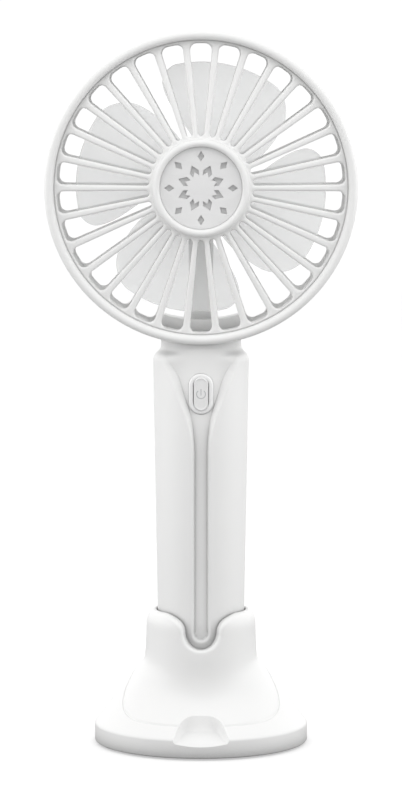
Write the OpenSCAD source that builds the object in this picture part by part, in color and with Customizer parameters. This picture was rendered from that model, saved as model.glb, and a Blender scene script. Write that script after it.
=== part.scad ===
// Hand-held mini fan that stands in a flared base.
// Millimetres. +Z is up, the fan blows towards -Y, and Z = 0 is the surface that the base stands on.

/* [Head] */
// Height of the blade axis above the surface
head_z = 180; // [179:0.5:181]
// Outer radius of the head
head_r = 49.8; // [49.6:0.1:50.2]
// Depth of the front grille ahead of the parting plane
front_depth = 15.5; // [15.2:0.1:16]
// Depth of the rear grille behind the parting plane
rear_depth = 15; // [14.6:0.1:15.4]
// Number of spokes in each grille
spoke_count = 30; // [26:1:32]
// Outer radius of the bezel ring round the medallion
bezel_r = 15.4; // [15.2:0.1:15.8]
// Number of diamonds in the medallion, and of arrows between them
motif_count = 8; // [6:1:9]

/* [Blade] */
// Number of blades
blade_count = 4; // [3:1:4]
// Radius of the blade tips
blade_r = 40; // [37:0.5:42]
// Thickness of a blade
blade_thick = 1.2; // [1:0.1:1.6]
// Angle of the first blade's middle line, anticlockwise from +X
blade_angle = 73; // [0:1:90]

/* [Handle] */
// Radius of the handle just under its shoulder
handle_top_r = 15.4; // [15.2:0.1:15.8]
// Radius of the handle at its bottom end
handle_end_r = 13.4; // [13.2:0.1:13.6]
// Height of the shoulder
shoulder_z = 124.3; // [123:0.1:125]
// Radius of the neck between the shoulder and the head
neck_r = 13; // [12.9:0.1:13.2]
// Half width of the long groove in the front
groove_half_w = 2.65; // [2.4:0.05:2.9]
// Height of the middle of the button
button_z = 114.4; // [114:0.1:114.5]

/* [Base] */
// Radius of the base at its rim
base_r = 34.5; // [34:0.5:36]
// Height of the vertical rim
rim_h = 6.5; // [6:0.1:7]
// Outer radius of the collar where it leaves the cone
collar_r = 18; // [17.8:0.1:18.2]
// Height of the collar's two ears
collar_z = 43.5; // [42:0.5:45]
// Slope of the skirt at the front, as rise over run
front_slope = 0.62; // [0.55:0.01:0.7]

/* [Hidden] */
$fn = 96;
eps = 0.01;
far = 60;

// Head, in its own frame: heights are measured forwards from the parting plane
bead_r = 1.5;
wall = 2.1;
slot_r = head_r - 3.8;
slot_inner_r = 16.5;
spoke_thick = 1.7;
flange_h = front_depth - 2.5;
medallion_r = bezel_r - 2.4;
medallion_h = front_depth + 0.7;
hub_back_h = front_depth - 2.5;
pod_r = 13.8;
pod_wall = 1.3;
pod_front_h = -1.2;
pod_rear_h = -16.4;
strut_half_w = 4;
lead_half_gap = 0.75;
lead_r = 0.55;
strut_h = rear_depth - 1.1;
tongue_half_w = 8;
tongue_z = 121.5;
tongue_y = [0.4, 7.8];
tongue_screw_x = 5;
tongue_screw_z = 126.5;
lead_hole_y = 5.8;

// Handle
handle_z = 8.3;
handle_slope = (handle_top_r - handle_end_r) / (shoulder_z - handle_z);
neck_inner_r = 11.4;
step_z = 110;
front_flat_y = -10.8;
skin = 1.8;
groove_end_z = 37.45;
groove_floor_r = 12.3;
mid_screw_z = 80;
screw_r = 0.98;
screw_head_r = 1.9;
button_half_w = 2.3;
button_half_h = 5.35;
bezel_half_w = 4;
bezel_half_h = 6.6;
board_x = [-2.5, -1.3];
board_z = [83.5, 117.5];
board_y = [-8.3, 11];
usb_z = 100;
cell_r = 9.2;
cell_z = [12, 76.8];

// Base
cone_slope = (28 - rim_h) / (base_r - collar_r);
fit_gap = 0.3;
rim_z = 0.6;
post_r = 21;
foot_r = [26, 31];

// Radius of the handle's outside at height z
function handle_r(z) = handle_end_r + (z - handle_z) * handle_slope;

// ---------- general shapes ----------

// Puts its children in the head's frame, where local +Z points out of the front
module on_axis() translate([0, 0, head_z]) rotate([90, 0, 0]) children();

// A ring round the local Z axis
module ring(r_in, r_out, z0, z1) {
    translate([0, 0, z0])
    difference() {
        cylinder(r = r_out, h = z1 - z0);
        translate([0, 0, -1]) cylinder(r = r_in, h = z1 - z0 + 2);
    }
}

// A box given by two opposite corners
module box(a, b) translate(a) cube(b - a);

// An oblong bar with round ends, standing along Z, that runs from y0 to y1
module oblong(half_w, half_h, y0, y1) {
    reach = half_h - half_w;
    for (side = [-1, 1])
        translate([0, y1, button_z + side * reach]) rotate([90, 0, 0]) cylinder(r = half_w, h = y1 - y0);
    box([-half_w, y0, button_z - reach], [half_w, y1, button_z + reach]);
}

// A round rod between two points
module rod(a, b, r) {
    d = b - a;
    translate(a)
    rotate([0, acos(d[2] / norm(d)), atan2(d[1], d[0])])
    cylinder(r = r, h = norm(d), $fn = 24);
}

// A lead that follows a list of points, as one eight-sided tube; no stretch of it may run along X
module lead(path, r) {
    sides = 8;
    last = len(path) - 1;
    points = [for (i = [0 : last])
        let (along = path[min(i + 1, last)] - path[max(i - 1, 0)],
             t = along / norm(along),
             u = cross(t, [1, 0, 0]) / norm(cross(t, [1, 0, 0])),
             v = cross(t, u))
        for (k = [0 : sides - 1])
        path[i] + r * (cos(k * 360 / sides) * u + sin(k * 360 / sides) * v)];
    walls = [for (i = [0 : last - 1]) for (k = [0 : sides - 1])
        let (a = i * sides + k, b = i * sides + (k + 1) % sides)
        for (f = [[a, a + sides, b + sides], [a, b + sides, b]]) f];
    ends = [[for (k = [0 : sides - 1]) k], [for (k = [sides - 1 : -1 : 0]) last * sides + k]];
    polyhedron(points = points, faces = concat(walls, ends), convexity = 6);
}

// One grille spoke, wider at the ring than at the hub
module spoke(inner_r, outer_r, inner_h, outer_h, inner_w, outer_w) {
    run = outer_r - inner_r;
    drop = inner_h - outer_h;
    span = sqrt(run * run + drop * drop);
    translate([inner_r, 0, inner_h])
    rotate([0, atan2(drop, run), 0])
    linear_extrude(height = spoke_thick)
    polygon([[0, -inner_w / 2], [span, -outer_w / 2], [span, outer_w / 2], [0, inner_w / 2]]);
}

// All the spokes of one grille, half a pitch away from the vertical
module spokes(inner_r, inner_h, outer_h) {
    pitch = 360 / spoke_count;
    for (i = [0 : spoke_count - 1])
        rotate([0, 0, i * pitch + 90 + pitch / 2])
        spoke(inner_r, slot_r + 0.5, inner_h, outer_h, 1.5, 2.2);
}

// ---------- base ----------

// How far the skirt has turned from its shallow front to its steep back, in direction phi from the front
function back_share(phi) = let (t = min(abs(phi) / 90, 1)) t * t * (3 - 2 * t);
// Height of the steep skirt at the sides and back
function cone_z(r) = rim_h + (base_r - r) * cone_slope;
// Height of the shallow skirt at the front, which sweeps up into the collar over the last few millimetres
function front_z(r) =
    let (sweep = 4,
         t = max(collar_r + sweep - r, 0) / sweep)
    rim_h + (base_r - r) * front_slope + 6 * (1 - sqrt(1 - min(t * t, 1)));

// Height of the base's top at radius r, in direction phi from the front
function base_z(r, phi) = front_z(r) * (1 - back_share(phi)) + cone_z(r) * back_share(phi);

// Section of the base's outside in direction phi, from the rim up to the top of the collar
function base_section(phi) = concat(
    [[base_r - 0.6, rim_z], [base_r, rim_z + 0.6], [base_r, rim_h - 0.3]],
    [for (r = [base_r - 0.5, 31, 28, 25, 23, 22, 21, 20, 19.2, 18.6, 18.2, collar_r]) [r, base_z(r, phi)]],
    [[collar_r - 0.15, 32], [collar_r - 0.35, 37], [collar_r - 0.7, 40.5]],
    [[collar_r - 1.2, collar_z - 0.9], [collar_r - 2, collar_z]]);

// Outside of the base as one solid, a closed skin of triangles
module base_form() {
    step = 6;
    turns = 360 / step;
    sections = [for (i = [0 : turns - 1]) base_section(i * step > 180 ? i * step - 360 : i * step)];
    rows = len(sections[0]);
    points = concat(
        [for (i = [0 : turns - 1]) for (p = sections[i]) [p[0] * sin(i * step), -p[0] * cos(i * step), p[1]]],
        [[0, 0, rim_z], [0, 0, collar_z]]);
    bottom = turns * rows;
    top = bottom + 1;
    skin_faces = [for (i = [0 : turns - 1]) for (j = [0 : rows - 2])
        let (a = i * rows + j, b = ((i + 1) % turns) * rows + j)
        for (f = [[a, a + 1, b], [b, a + 1, b + 1]]) f];
    end_faces = [for (i = [0 : turns - 1])
        let (a = i * rows, b = ((i + 1) % turns) * rows)
        for (f = [[bottom, a, b], [top, b + rows - 1, a + rows - 1]]) f];
    polyhedron(points = points, faces = concat(skin_faces, end_faces), convexity = 6);
}

// Outline of the dip in the front of the collar: a round bottom that flares out to the two ears
module collar_dip() {
    dip_r = 5.8;
    dip_z = collar_z - 5.3;
    flare = [[6.4, 1.7], [7.7, 3.3], [10, 4.5], [13.2, 5.3], [14.6, 7]];
    outline = concat(
        [for (a = [180 : 12 : 360]) [dip_r * cos(a), dip_z + dip_r * sin(a)]],
        [for (p = flare) [p[0], dip_z + p[1]]],
        [for (i = [len(flare) - 1 : -1 : 0]) [-flare[i][0], dip_z + flare[i][1]]]);
    rotate([90, 0, 0]) linear_extrude(height = far) polygon(outline);
}

// Notch in the front of the rim, with slanted sides and a floor that falls towards the front
module rim_notch() {
    translate([0, -26.5, 8.9])
    rotate([90 + 16.5, 0, 0])
    linear_extrude(height = 12)
    polygon([[-8.3, 0], [8.3, 0], [5.6, 2.6], [4, 8], [-4, 8], [-5.6, 2.6]]);
}

module base_shell() {
    color("white")
    difference() {
        union() {
            difference() {
                base_form();
                rotate_extrude()
                polygon([[0, 0], [32.4, 0], [32.4, 5.4], [29, 7.4], [22, 11], [18.6, 15.5], [16.2, 20],
                         [15.8, 20], [15.8, 6], [0, 6]]);
            }
            for (a = [90, 210, 330])
                rotate([0, 0, a]) translate([post_r, 0, 2.65]) cylinder(r = 2.4, h = 12.5);
        }
        translate([0, 0, handle_z - fit_gap])
        cylinder(r1 = handle_r(handle_z) + fit_gap, r2 = handle_r(collar_z + 1) + fit_gap,
                 h = collar_z + 1 - handle_z + fit_gap);
        collar_dip();
        rim_notch();
        for (a = [90, 210, 330]) rotate([0, 0, a]) translate([post_r, 0, 0]) cylinder(r = 1, h = 10);
    }
}

module base_plate() {
    color("white")
    difference() {
        translate([0, 0, 1]) cylinder(r = 32.2, h = 1.6);
        ring(foot_r[0] - 0.1, foot_r[1] + 0.1, 0, 1.45);
        for (a = [90, 210, 330]) rotate([0, 0, a]) translate([post_r, 0, 0]) {
            cylinder(r = 1.1, h = 4);
            cylinder(r = screw_head_r + 0.15, h = 2.05);
        }
    }
}

module base_screws() {
    color("silver")
    for (a = [90, 210, 330]) rotate([0, 0, a]) translate([post_r, 0, 0]) {
        translate([0, 0, 1.1]) cylinder(r = screw_head_r, h = 0.9);
        translate([0, 0, 2 - eps]) cylinder(r = screw_r, h = 7);
    }
}

module foot_ring() {
    color("gainsboro") ring(foot_r[0], foot_r[1], 0, 1.4);
}

// ---------- handle ----------

// Outside of the handle and neck
module handle_form() {
    difference() {
        rotate_extrude()
        polygon([[0, handle_z], [handle_end_r - 0.6, handle_z], [handle_r(handle_z + 0.6), handle_z + 0.6],
                 [handle_top_r, shoulder_z], [handle_top_r - 0.15, shoulder_z + 0.9],
                 [handle_top_r - 0.6, shoulder_z + 1.6], [handle_top_r - 1.3, shoulder_z + 2.1],
                 [neck_r + 0.5, shoulder_z + 2.8], [neck_r + 0.1, shoulder_z + 3.6],
                 [neck_r, shoulder_z + 4.4], [neck_r, head_z - 45], [0, head_z - 45]]);
        on_axis() translate([0, 0, -far / 2]) cylinder(r = head_r + 0.15, h = far, $fn = 180);
        groove();
    }
}

// V recess under the neck that narrows into the long groove, cut down to a tapered floor
module groove() {
    edge = [[0, 93], [0.25, 98], [0.85, 104.5], [1.95, 110], [3.65, 114], [5.45, 117.5], [7.95, 121.5],
            [10.75, 125.5], [10.75, head_z - 40]];
    outline = concat(
        [for (a = [180 : 15 : 360]) [groove_half_w * cos(a), groove_end_z + groove_half_w * sin(a)]],
        [for (p = edge) [groove_half_w + p[0], p[1]]],
        [for (i = [len(edge) - 1 : -1 : 0]) [-groove_half_w - edge[i][0], edge[i][1]]]);
    difference() {
        rotate([90, 0, 0]) linear_extrude(height = 20) polygon(outline);
        rotate_extrude()
        polygon([[0, 0], [groove_floor_r, 0], [neck_r, 112], [neck_r, head_z], [0, head_z]]);
    }
}

// Hollow inside the handle, with a step for the bottom cap and a thicker wall behind the groove
module handle_hollow() {
    difference() {
        rotate_extrude()
        polygon([[0, 0], [11, 0], [11, 9.4], [12, 9.4], [12, 10.4], [handle_r(10.4) - skin, 10.4],
                 [handle_r(step_z) - skin, step_z], [neck_inner_r, step_z + eps],
                 [neck_inner_r, head_z], [0, head_z]]);
        box([-20, -20, 10.4], [20, front_flat_y, step_z]);
    }
}

// Ribs inside the handle that hold the cell, with a gap for the lead at the side
module cell_ribs() {
    for (z = [18, 44, 70])
        difference() {
            ring(cell_r + 0.15, handle_r(z) - skin + 0.3, z, z + 1.2);
            box([8, -1.2, z - 1], [14, 1.2, z + 3]);
        }
}

// Two fingers that hold one edge of the circuit board
module board_guide(y0, y1) {
    for (z = [86, 104.4])
        difference() {
            box([board_x[0] - 1.1, y0, z], [board_x[1] + 1.1, y1, z + 3]);
            box([board_x[0] - 0.05, board_y[0] - 0.05, z - 1], [board_x[1] + 0.05, board_y[1] + 0.05, z + 4]);
        }
}

module handle_front() {
    color("white")
    difference() {
        union() {
            intersection() {
                difference() {
                    handle_form();
                    handle_hollow();
                }
                box([-20, -20, 0], [20, 0, head_z]);
            }
            intersection() {
                cell_ribs();
                box([-20, -11, 0], [20, 0, head_z]);
            }
            board_guide(-11.2, board_y[0] + 1.5);
            for (x = [-tongue_screw_x, tongue_screw_x])
                rod([x, -10.6, tongue_screw_z], [x, -0.1, tongue_screw_z], 2.2);
            rod([0, -11.5, mid_screw_z], [0, -0.1, mid_screw_z], 2.2);
        }
        for (x = [-tongue_screw_x, tongue_screw_x])
            rod([x, -7.5, tongue_screw_z], [x, 1, tongue_screw_z], 1);
        rod([0, -7.5, mid_screw_z], [0, 1, mid_screw_z], 1);
        oblong(button_half_w + 0.3, button_half_h + 0.3, -20, -5);
        oblong(bezel_half_w + 0.03, bezel_half_h + 0.03, -20, -12.2);
    }
}

module handle_rear() {
    seat_y = 10;
    color("white")
    difference() {
        union() {
            intersection() {
                difference() {
                    handle_form();
                    handle_hollow();
                }
                box([-20, 0, 0], [20, 20, head_z]);
            }
            intersection() {
                cell_ribs();
                box([-20, 0, 0], [20, 20, head_z]);
            }
            board_guide(board_y[1] - 1.5, 13.5);
            for (x = [-tongue_screw_x, tongue_screw_x])
                rod([x, tongue_y[1] + 0.1, tongue_screw_z], [x, seat_y + 1.4, tongue_screw_z], 2.7);
            rod([0, 0.1, mid_screw_z], [0, 13, mid_screw_z], 2.7);
        }
        for (x = [-tongue_screw_x, tongue_screw_x]) {
            rod([x, 1, tongue_screw_z], [x, 20, tongue_screw_z], 1.1);
            rod([x, seat_y, tongue_screw_z], [x, 20, tongue_screw_z], screw_head_r + 0.15);
        }
        rod([0, -1, mid_screw_z], [0, 20, mid_screw_z], 1.1);
        rod([0, seat_y, mid_screw_z], [0, 20, mid_screw_z], screw_head_r + 0.15);
        box([-1.7, 9, usb_z - 4.2], [1.7, 20, usb_z + 4.2]);
    }
}

module bottom_cap() {
    color("white")
    rotate_extrude()
    polygon([[0, handle_z + 0.2], [10.6, handle_z + 0.2], [10.9, handle_z + 0.5], [10.9, 9.45],
             [11.9, 9.45], [11.9, 10.35], [0, 10.35]]);
}

// One self-tapping screw that points to -Y, with a pan head at y = 10
module shell_screw(x, z) {
    rod([x, 10, z], [x, 11.3, z], screw_head_r);
    rod([x, -6.5, z], [x, 10.01, z], screw_r);
}

module handle_screws() {
    color("silver") {
        for (x = [-tongue_screw_x, tongue_screw_x]) shell_screw(x, tongue_screw_z);
        shell_screw(0, mid_screw_z);
    }
}

// ---------- button and electronics ----------

module button_bezel() {
    color("white")
    difference() {
        oblong(bezel_half_w, bezel_half_h, -13.5, -12.23);
        oblong(button_half_w + 0.15, button_half_h + 0.15, -14, -12);
    }
}

module button_cap() {
    color("white") {
        oblong(button_half_w, button_half_h, -14, -10.7);
        oblong(button_half_w + 0.7, button_half_h + 0.5, -10.7 - eps, -10.1);
    }
}

module switch_plunger() {
    color("dimgray") rod([0, -10.08, button_z], [0, -8.6, button_z], 1.1);
}

module tact_switch() {
    color("silver")
    difference() {
        box([board_x[1] + 0.02, -9.3, button_z - 3], [1.3, -5.8, button_z + 3]);
        rod([0, -10, button_z], [0, -7.2, button_z], 1.18);
    }
}

module circuit_board() {
    color("darkgreen") box([board_x[0], board_y[0], board_z[0]], [board_x[1], board_y[1], board_z[1]]);
}

// Charging chip, motor driver, inductor and small parts on the board
module board_components() {
    x = board_x[1] + 0.02;
    color("dimgray") {
        box([x, -1, 90], [x + 1.6, 4, 94]);
        box([x, -3.5, 104], [x + 1.5, 1, 109]);
        translate([x, 6, 90]) rotate([0, 90, 0]) cylinder(r = 1.6, h = 3);
        for (i = [0 : 3]) box([x, -6.5 + i * 2.4, 98], [x + 0.6, -5.3 + i * 2.4, 100]);
    }
}

module usb_socket() {
    color("silver")
    difference() {
        box([board_x[1] + 0.02, 8.6, usb_z - 3.75], [1.3, 14.2, usb_z + 3.75]);
        box([board_x[1] + 0.4, 9.4, usb_z - 3.35], [0.95, 15, usb_z + 3.35]);
    }
}

module battery_cell() {
    color("steelblue") translate([0, 0, cell_z[0]]) cylinder(r = cell_r, h = cell_z[1] - cell_z[0]);
}

module battery_tabs() {
    color("silver") {
        box([-2.5, -3.5, cell_z[1] + 0.01], [2.5, 3.5, cell_z[1] + 0.2]);
        box([-2.5, -3.5, cell_z[0] - 0.2], [10.2, 3.5, cell_z[0] - 0.01]);
    }
}

module battery_pad() {
    color("dimgray") translate([0, 0, 10.4]) cylinder(r = 9.5, h = 1.35);
}

// One lead from each end of the cell up to the board
module battery_leads() {
    back_x = board_x[0] - lead_r - 0.05;
    face_x = board_x[1] + lead_r + 0.05;
    color("firebrick") {
        lead([[-1.8, -2.9, cell_z[1] + 0.8], [-4.2, -4.4, 79], [-4.2, -4.4, 82], [back_x, -5, 84.5],
              [back_x, -5, 88]], lead_r);
        lead([[10.3, 0, cell_z[0] + 0.6], [10.3, 0, 78], [5, 1, 83], [face_x, 1.5, 86],
              [face_x, 1.5, 88.5]], lead_r);
    }
}

// ---------- head ----------

module front_grille() {
    color("white")
    on_axis()
    union() {
        rotate_extrude($fn = 180)
        polygon([[slot_r, flange_h - 1.8], [head_r - 0.4 - wall + 0.1, flange_h - 2.8],
                 [head_r - 0.4 - wall + 0.1, 0], [head_r - 0.4, 0], [head_r, front_depth - bead_r],
                 [head_r - 2 * bead_r, front_depth - bead_r], [head_r - 2 * bead_r, flange_h],
                 [slot_r, flange_h]]);
        rotate_extrude($fn = 180)
        translate([head_r - bead_r, front_depth - bead_r]) circle(r = bead_r, $fn = 32);
        spokes(bezel_r - 0.5, front_depth - 1.4, flange_h - spoke_thick - 0.1);
        ring(bezel_r - 0.3, slot_inner_r, front_depth - 1.7, front_depth);
        ring(medallion_r + 0.05, bezel_r, hub_back_h, front_depth + 1.3);
        ring(medallion_r - 1.8, medallion_r + 0.06, hub_back_h, hub_back_h + 1);
        rotate_extrude() translate([bezel_r - 1.2, front_depth + 1.3]) circle(r = 1.18, $fn = 32);
    }
}

// Cut-outs of the medallion: diamonds with arrows between them
module motif() {
    pitch = 360 / motif_count;
    for (i = [0 : motif_count - 1]) {
        rotate([0, 0, i * pitch]) polygon([[8.5, 0], [10.1, -1.1], [11.7, 0], [10.1, 1.1]]);
        rotate([0, 0, (i + 0.5) * pitch])
        polygon([[5.4, 0], [4.05, -1], [5.5, -1.5], [7.7, 0], [5.5, 1.5], [4.05, 1]]);
    }
}

module medallion() {
    color("gainsboro")
    on_axis()
    translate([0, 0, medallion_h - 1.2])
    linear_extrude(height = 1.2)
    difference() {
        circle(r = medallion_r);
        motif();
    }
}

module medallion_backing() {
    color("gray")
    on_axis() translate([0, 0, hub_back_h + 1.05]) cylinder(r = medallion_r, h = 0.9);
}

// Ring, spokes, motor pod, strut and saddle of the rear half, and the tongue that goes down into the neck
module rear_grille() {
    saddle_angle = 17;
    color("white")
    difference() {
        union() {
            on_axis() {
                rotate_extrude($fn = 180)
                polygon([[head_r - 3.3, 2], [head_r - 3.3, -2], [head_r - 2.5, -3],
                         [head_r - 2.5, 2 - rear_depth], [slot_r, 1.6 - rear_depth], [slot_r, -rear_depth],
                         [head_r - 1.8, -rear_depth], [head_r - 0.8, 1 - rear_depth], [head_r - 0.4, 0],
                         [head_r - 2.5, 0], [head_r - 2.5, 2]]);
                spokes(pod_r - 0.5, -rear_depth - 1.1, -rear_depth + 0.2);
                ring(pod_r - pod_wall, pod_r, pod_rear_h, pod_front_h);
                ring(3.6, pod_r - 0.3, pod_front_h - 1.2, pod_front_h);
                box([-strut_half_w, -slot_r, -rear_depth - 0.6],
                    [strut_half_w, -pod_r + 0.4, -rear_depth + 5]);
                rotate([0, 0, -90 - saddle_angle])
                rotate_extrude(angle = 2 * saddle_angle)
                polygon([[slot_r - 3, -rear_depth + 0.4], [slot_r + 2, -rear_depth + 0.4], [slot_r + 2, -4],
                         [slot_r - 3, -4]]);
            }
            box([-tongue_half_w, tongue_y[0], tongue_z], [tongue_half_w, tongue_y[1], head_z - head_r + 2.3]);
        }
        box([-2.2, strut_h - 1.1, head_z - slot_r - 0.5], [2.2, strut_h + 1.1, head_z - pod_r + 2]);
        box([-2.2, lead_hole_y - 1.5, head_z - slot_r - 0.2], [2.2, strut_h + 1.1, head_z - slot_r + 2.2]);
        translate([0, lead_hole_y, tongue_z - 1]) cylinder(r = 1.6, h = head_z - slot_r - tongue_z + 2);
        for (x = [-tongue_screw_x, tongue_screw_x])
            rod([x, -1, tongue_screw_z], [x, 9, tongue_screw_z], 1.15);
        on_axis()
        for (x = [-8, 8]) translate([x, 0, pod_front_h - 2]) cylinder(r = 1.05, h = 3);
    }
}

module motor_cover() {
    color("white")
    on_axis()
    rotate_extrude()
    polygon([[0, -18], [9, -18], [12.6, -17.5], [13.6, -16.9], [pod_r, pod_rear_h - 0.02],
             [12.4, pod_rear_h - 0.02], [12.4, -15.2], [11.4, -15.2], [11.4, pod_rear_h - 0.4],
             [0, pod_rear_h - 0.4]]);
}

// ---------- motor ----------

module motor_can() {
    color("silver")
    on_axis()
    difference() {
        union() {
            translate([0, 0, -12.3]) cylinder(r = 12.2, h = 9.8);
            translate([0, 0, -2.6]) cylinder(r = 3.3, h = 1.2);
        }
        translate([0, 0, -13]) cylinder(r = 11.4, h = 9.7);
        translate([0, 0, -4]) cylinder(r = 2.5, h = 4);
        for (x = [-8, 8]) translate([x, 0, -4]) cylinder(r = 1, h = 3);
    }
}

module motor_magnets() {
    color("dimgray")
    on_axis()
    for (side = [0, 180])
        rotate([0, 0, side - 60])
        rotate_extrude(angle = 120)
        polygon([[9.3, -11.3], [11.35, -11.3], [11.35, -4.6], [9.3, -4.6]]);
}

module front_bush() {
    color("goldenrod") on_axis() ring(1.05, 2.49, -3.4, -1.4);
}

module rear_bush() {
    color("goldenrod") on_axis() ring(1.05, 2.2, -14.4, -12.9);
}

module motor_end_cap() {
    color("dimgray")
    on_axis()
    difference() {
        union() {
            ring(2.22, 12.2, -13.1, -12.32);
            ring(2.22, 3.4, -14.4, -13);
        }
        for (x = [-5, 5]) box([x - 0.9, -8.9, -14], [x + 0.9, -7.9, -12]);
    }
}

// Two sprung strips that press on the commutator
module motor_brushes() {
    color("goldenrod")
    on_axis()
    for (side = [-1, 1])
        translate([side * 2.65, 0, 0]) box([-0.12, -7, -12.3], [0.12, 2, -11.3]);
}

module motor_terminals() {
    color("silver")
    on_axis()
    for (x = [-5, 5]) box([x - 0.85, -8.6, -14.8], [x + 0.85, -8.2, -11.8]);
}

module motor_screws() {
    color("silver")
    on_axis()
    for (x = [-8, 8]) translate([x, 0, 0]) {
        translate([0, 0, pod_front_h + 0.02]) cylinder(r = 1.8, h = 0.9);
        translate([0, 0, -3.4]) cylinder(r = 0.95, h = 3.4 + pod_front_h + 0.1);
    }
}

// Two leads from the motor terminals down the strut, through the saddle and tongue, to the board
module motor_leads() {
    saddle_z = head_z - slot_r;
    solder_x = board_x[1] + lead_r + 0.05;
    color("firebrick")
    for (side = [-1, 1])
        lead([[side * 5, 14.2, 170.7], [side * 3, strut_h, 169.4], [side * lead_half_gap, strut_h, 168.3],
              [side * lead_half_gap, strut_h, saddle_z + 1.2],
              [side * lead_half_gap, lead_hole_y, saddle_z + 0.8],
              [side * lead_half_gap, lead_hole_y, 120], [solder_x, 5 + side * 1.5, 117.4],
              [solder_x, 5 + side * 1.5, 115]], lead_r);
}

// ---------- rotor ----------

// Angles, from a blade's middle line, of its two edges at radius r
function trailing_edge(r) = -48 + (r - 18.8) * 0.85;
function leading_edge(r) = 38 - 0.045 * pow(r - 32, 2);
// How far a corner of radius c pulls an edge in, in degrees, at radius r
function corner(r, c) =
    let (d = max(r - blade_r + c, 0))
    (c - sqrt(max(c * c - d * d, 0))) / r * 180 / PI;

// One blade: a twisted sheet between its two curved edges, front edge trailing
module blade() {
    rows = 14;
    columns = 12;
    root_r = 7.6;
    grid = [for (i = [0 : rows]) let (r = root_r + (blade_r - root_r) * sin(90 * i / rows))
        for (j = [0 : columns])
        let (v = j / columns,
             a = trailing_edge(r) + corner(r, 8),
             b = leading_edge(r) - corner(r, 5),
             angle = a + (b - a) * v,
             h = 9.4 - 7 * v + 0.9 * sin(180 * v))
        [r * cos(angle), r * sin(angle), h]];
    count = len(grid);
    points = concat([for (p = grid) p + [0, 0, blade_thick / 2]],
                    [for (p = grid) p - [0, 0, blade_thick / 2]]);
    width = columns + 1;
    front = [for (i = [0 : rows - 1]) for (j = [0 : columns - 1])
        let (a = i * width + j, b = a + width)
        for (f = [[a, b + 1, b], [a, a + 1, b + 1]]) f];
    back = [for (f = front) [f[0] + count, f[2] + count, f[1] + count]];
    border = concat([for (j = [0 : columns - 1]) j],
                    [for (i = [0 : rows - 1]) i * width + columns],
                    [for (j = [columns : -1 : 1]) rows * width + j],
                    [for (i = [rows : -1 : 1]) i * width]);
    sides = [for (k = [0 : len(border) - 1])
        let (a = border[k], b = border[(k + 1) % len(border)])
        for (f = [[a, a + count, b + count], [a, b + count, b]]) f];
    polyhedron(points = points, faces = concat(front, back, sides), convexity = 4);
}

module fan_blade() {
    hub_outer_r = 8.5;
    color("aliceblue")
    on_axis()
    difference() {
        union() {
            difference() {
                union() {
                    translate([0, 0, 0.5]) cylinder(r = hub_outer_r, h = 10.3);
                    translate([0, 0, 10.8 - eps]) cylinder(r1 = hub_outer_r, r2 = hub_outer_r - 1.2, h = 1.2);
                    for (i = [0 : blade_count - 1])
                        rotate([0, 0, blade_angle + i * 360 / blade_count]) blade();
                }
                translate([0, 0, -1]) cylinder(r = hub_outer_r - 1.4, h = 11.4);
            }
            translate([0, 0, 1]) cylinder(r = 2.8, h = 10);
        }
        translate([0, 0, -1]) cylinder(r = 1.01, h = 10);
    }
}

module motor_shaft() {
    color("silver") on_axis() translate([0, 0, -15]) cylinder(r = 1, h = 23.8);
}

// Three-pole laminated core
module motor_armature() {
    color("gray")
    on_axis()
    difference() {
        intersection() {
            translate([0, 0, -10.8]) cylinder(r = 8.9, h = 5.8);
            union() {
                translate([0, 0, -11]) cylinder(r = 3, h = 7);
                for (a = [90, 210, 330]) rotate([0, 0, a]) {
                    box([0, -1.2, -11], [8, 1.2, -4]);
                    intersection() {
                        ring(7.4, 9.5, -11, -4);
                        box([2, -6.6, -12], [10, 6.6, -3]);
                    }
                }
            }
        }
        translate([0, 0, -12]) cylinder(r = 1.01, h = 10);
    }
}

// Copper coils round the three poles
module motor_windings() {
    color("peru")
    on_axis()
    for (a = [90, 210, 330]) rotate([0, 0, a])
        difference() {
            box([3.9, -2.9, -11.2], [6.7, 2.9, -4.6]);
            box([3, -1.25, -10.85], [9, 1.25, -4.95]);
        }
}

module commutator() {
    color("goldenrod") on_axis() ring(1.01, 2.45, -12, -10.82);
}

base_shell();
base_plate();
base_screws();
foot_ring();
handle_front();
handle_rear();
bottom_cap();
handle_screws();
button_bezel();
button_cap();
switch_plunger();
tact_switch();
circuit_board();
board_components();
usb_socket();
battery_cell();
battery_tabs();
battery_pad();
battery_leads();
front_grille();
medallion();
medallion_backing();
rear_grille();
motor_cover();
motor_can();
motor_magnets();
front_bush();
rear_bush();
motor_end_cap();
motor_brushes();
motor_terminals();
motor_screws();
motor_leads();
fan_blade();
motor_shaft();
motor_armature();
motor_windings();
commutator();
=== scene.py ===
import math

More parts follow.
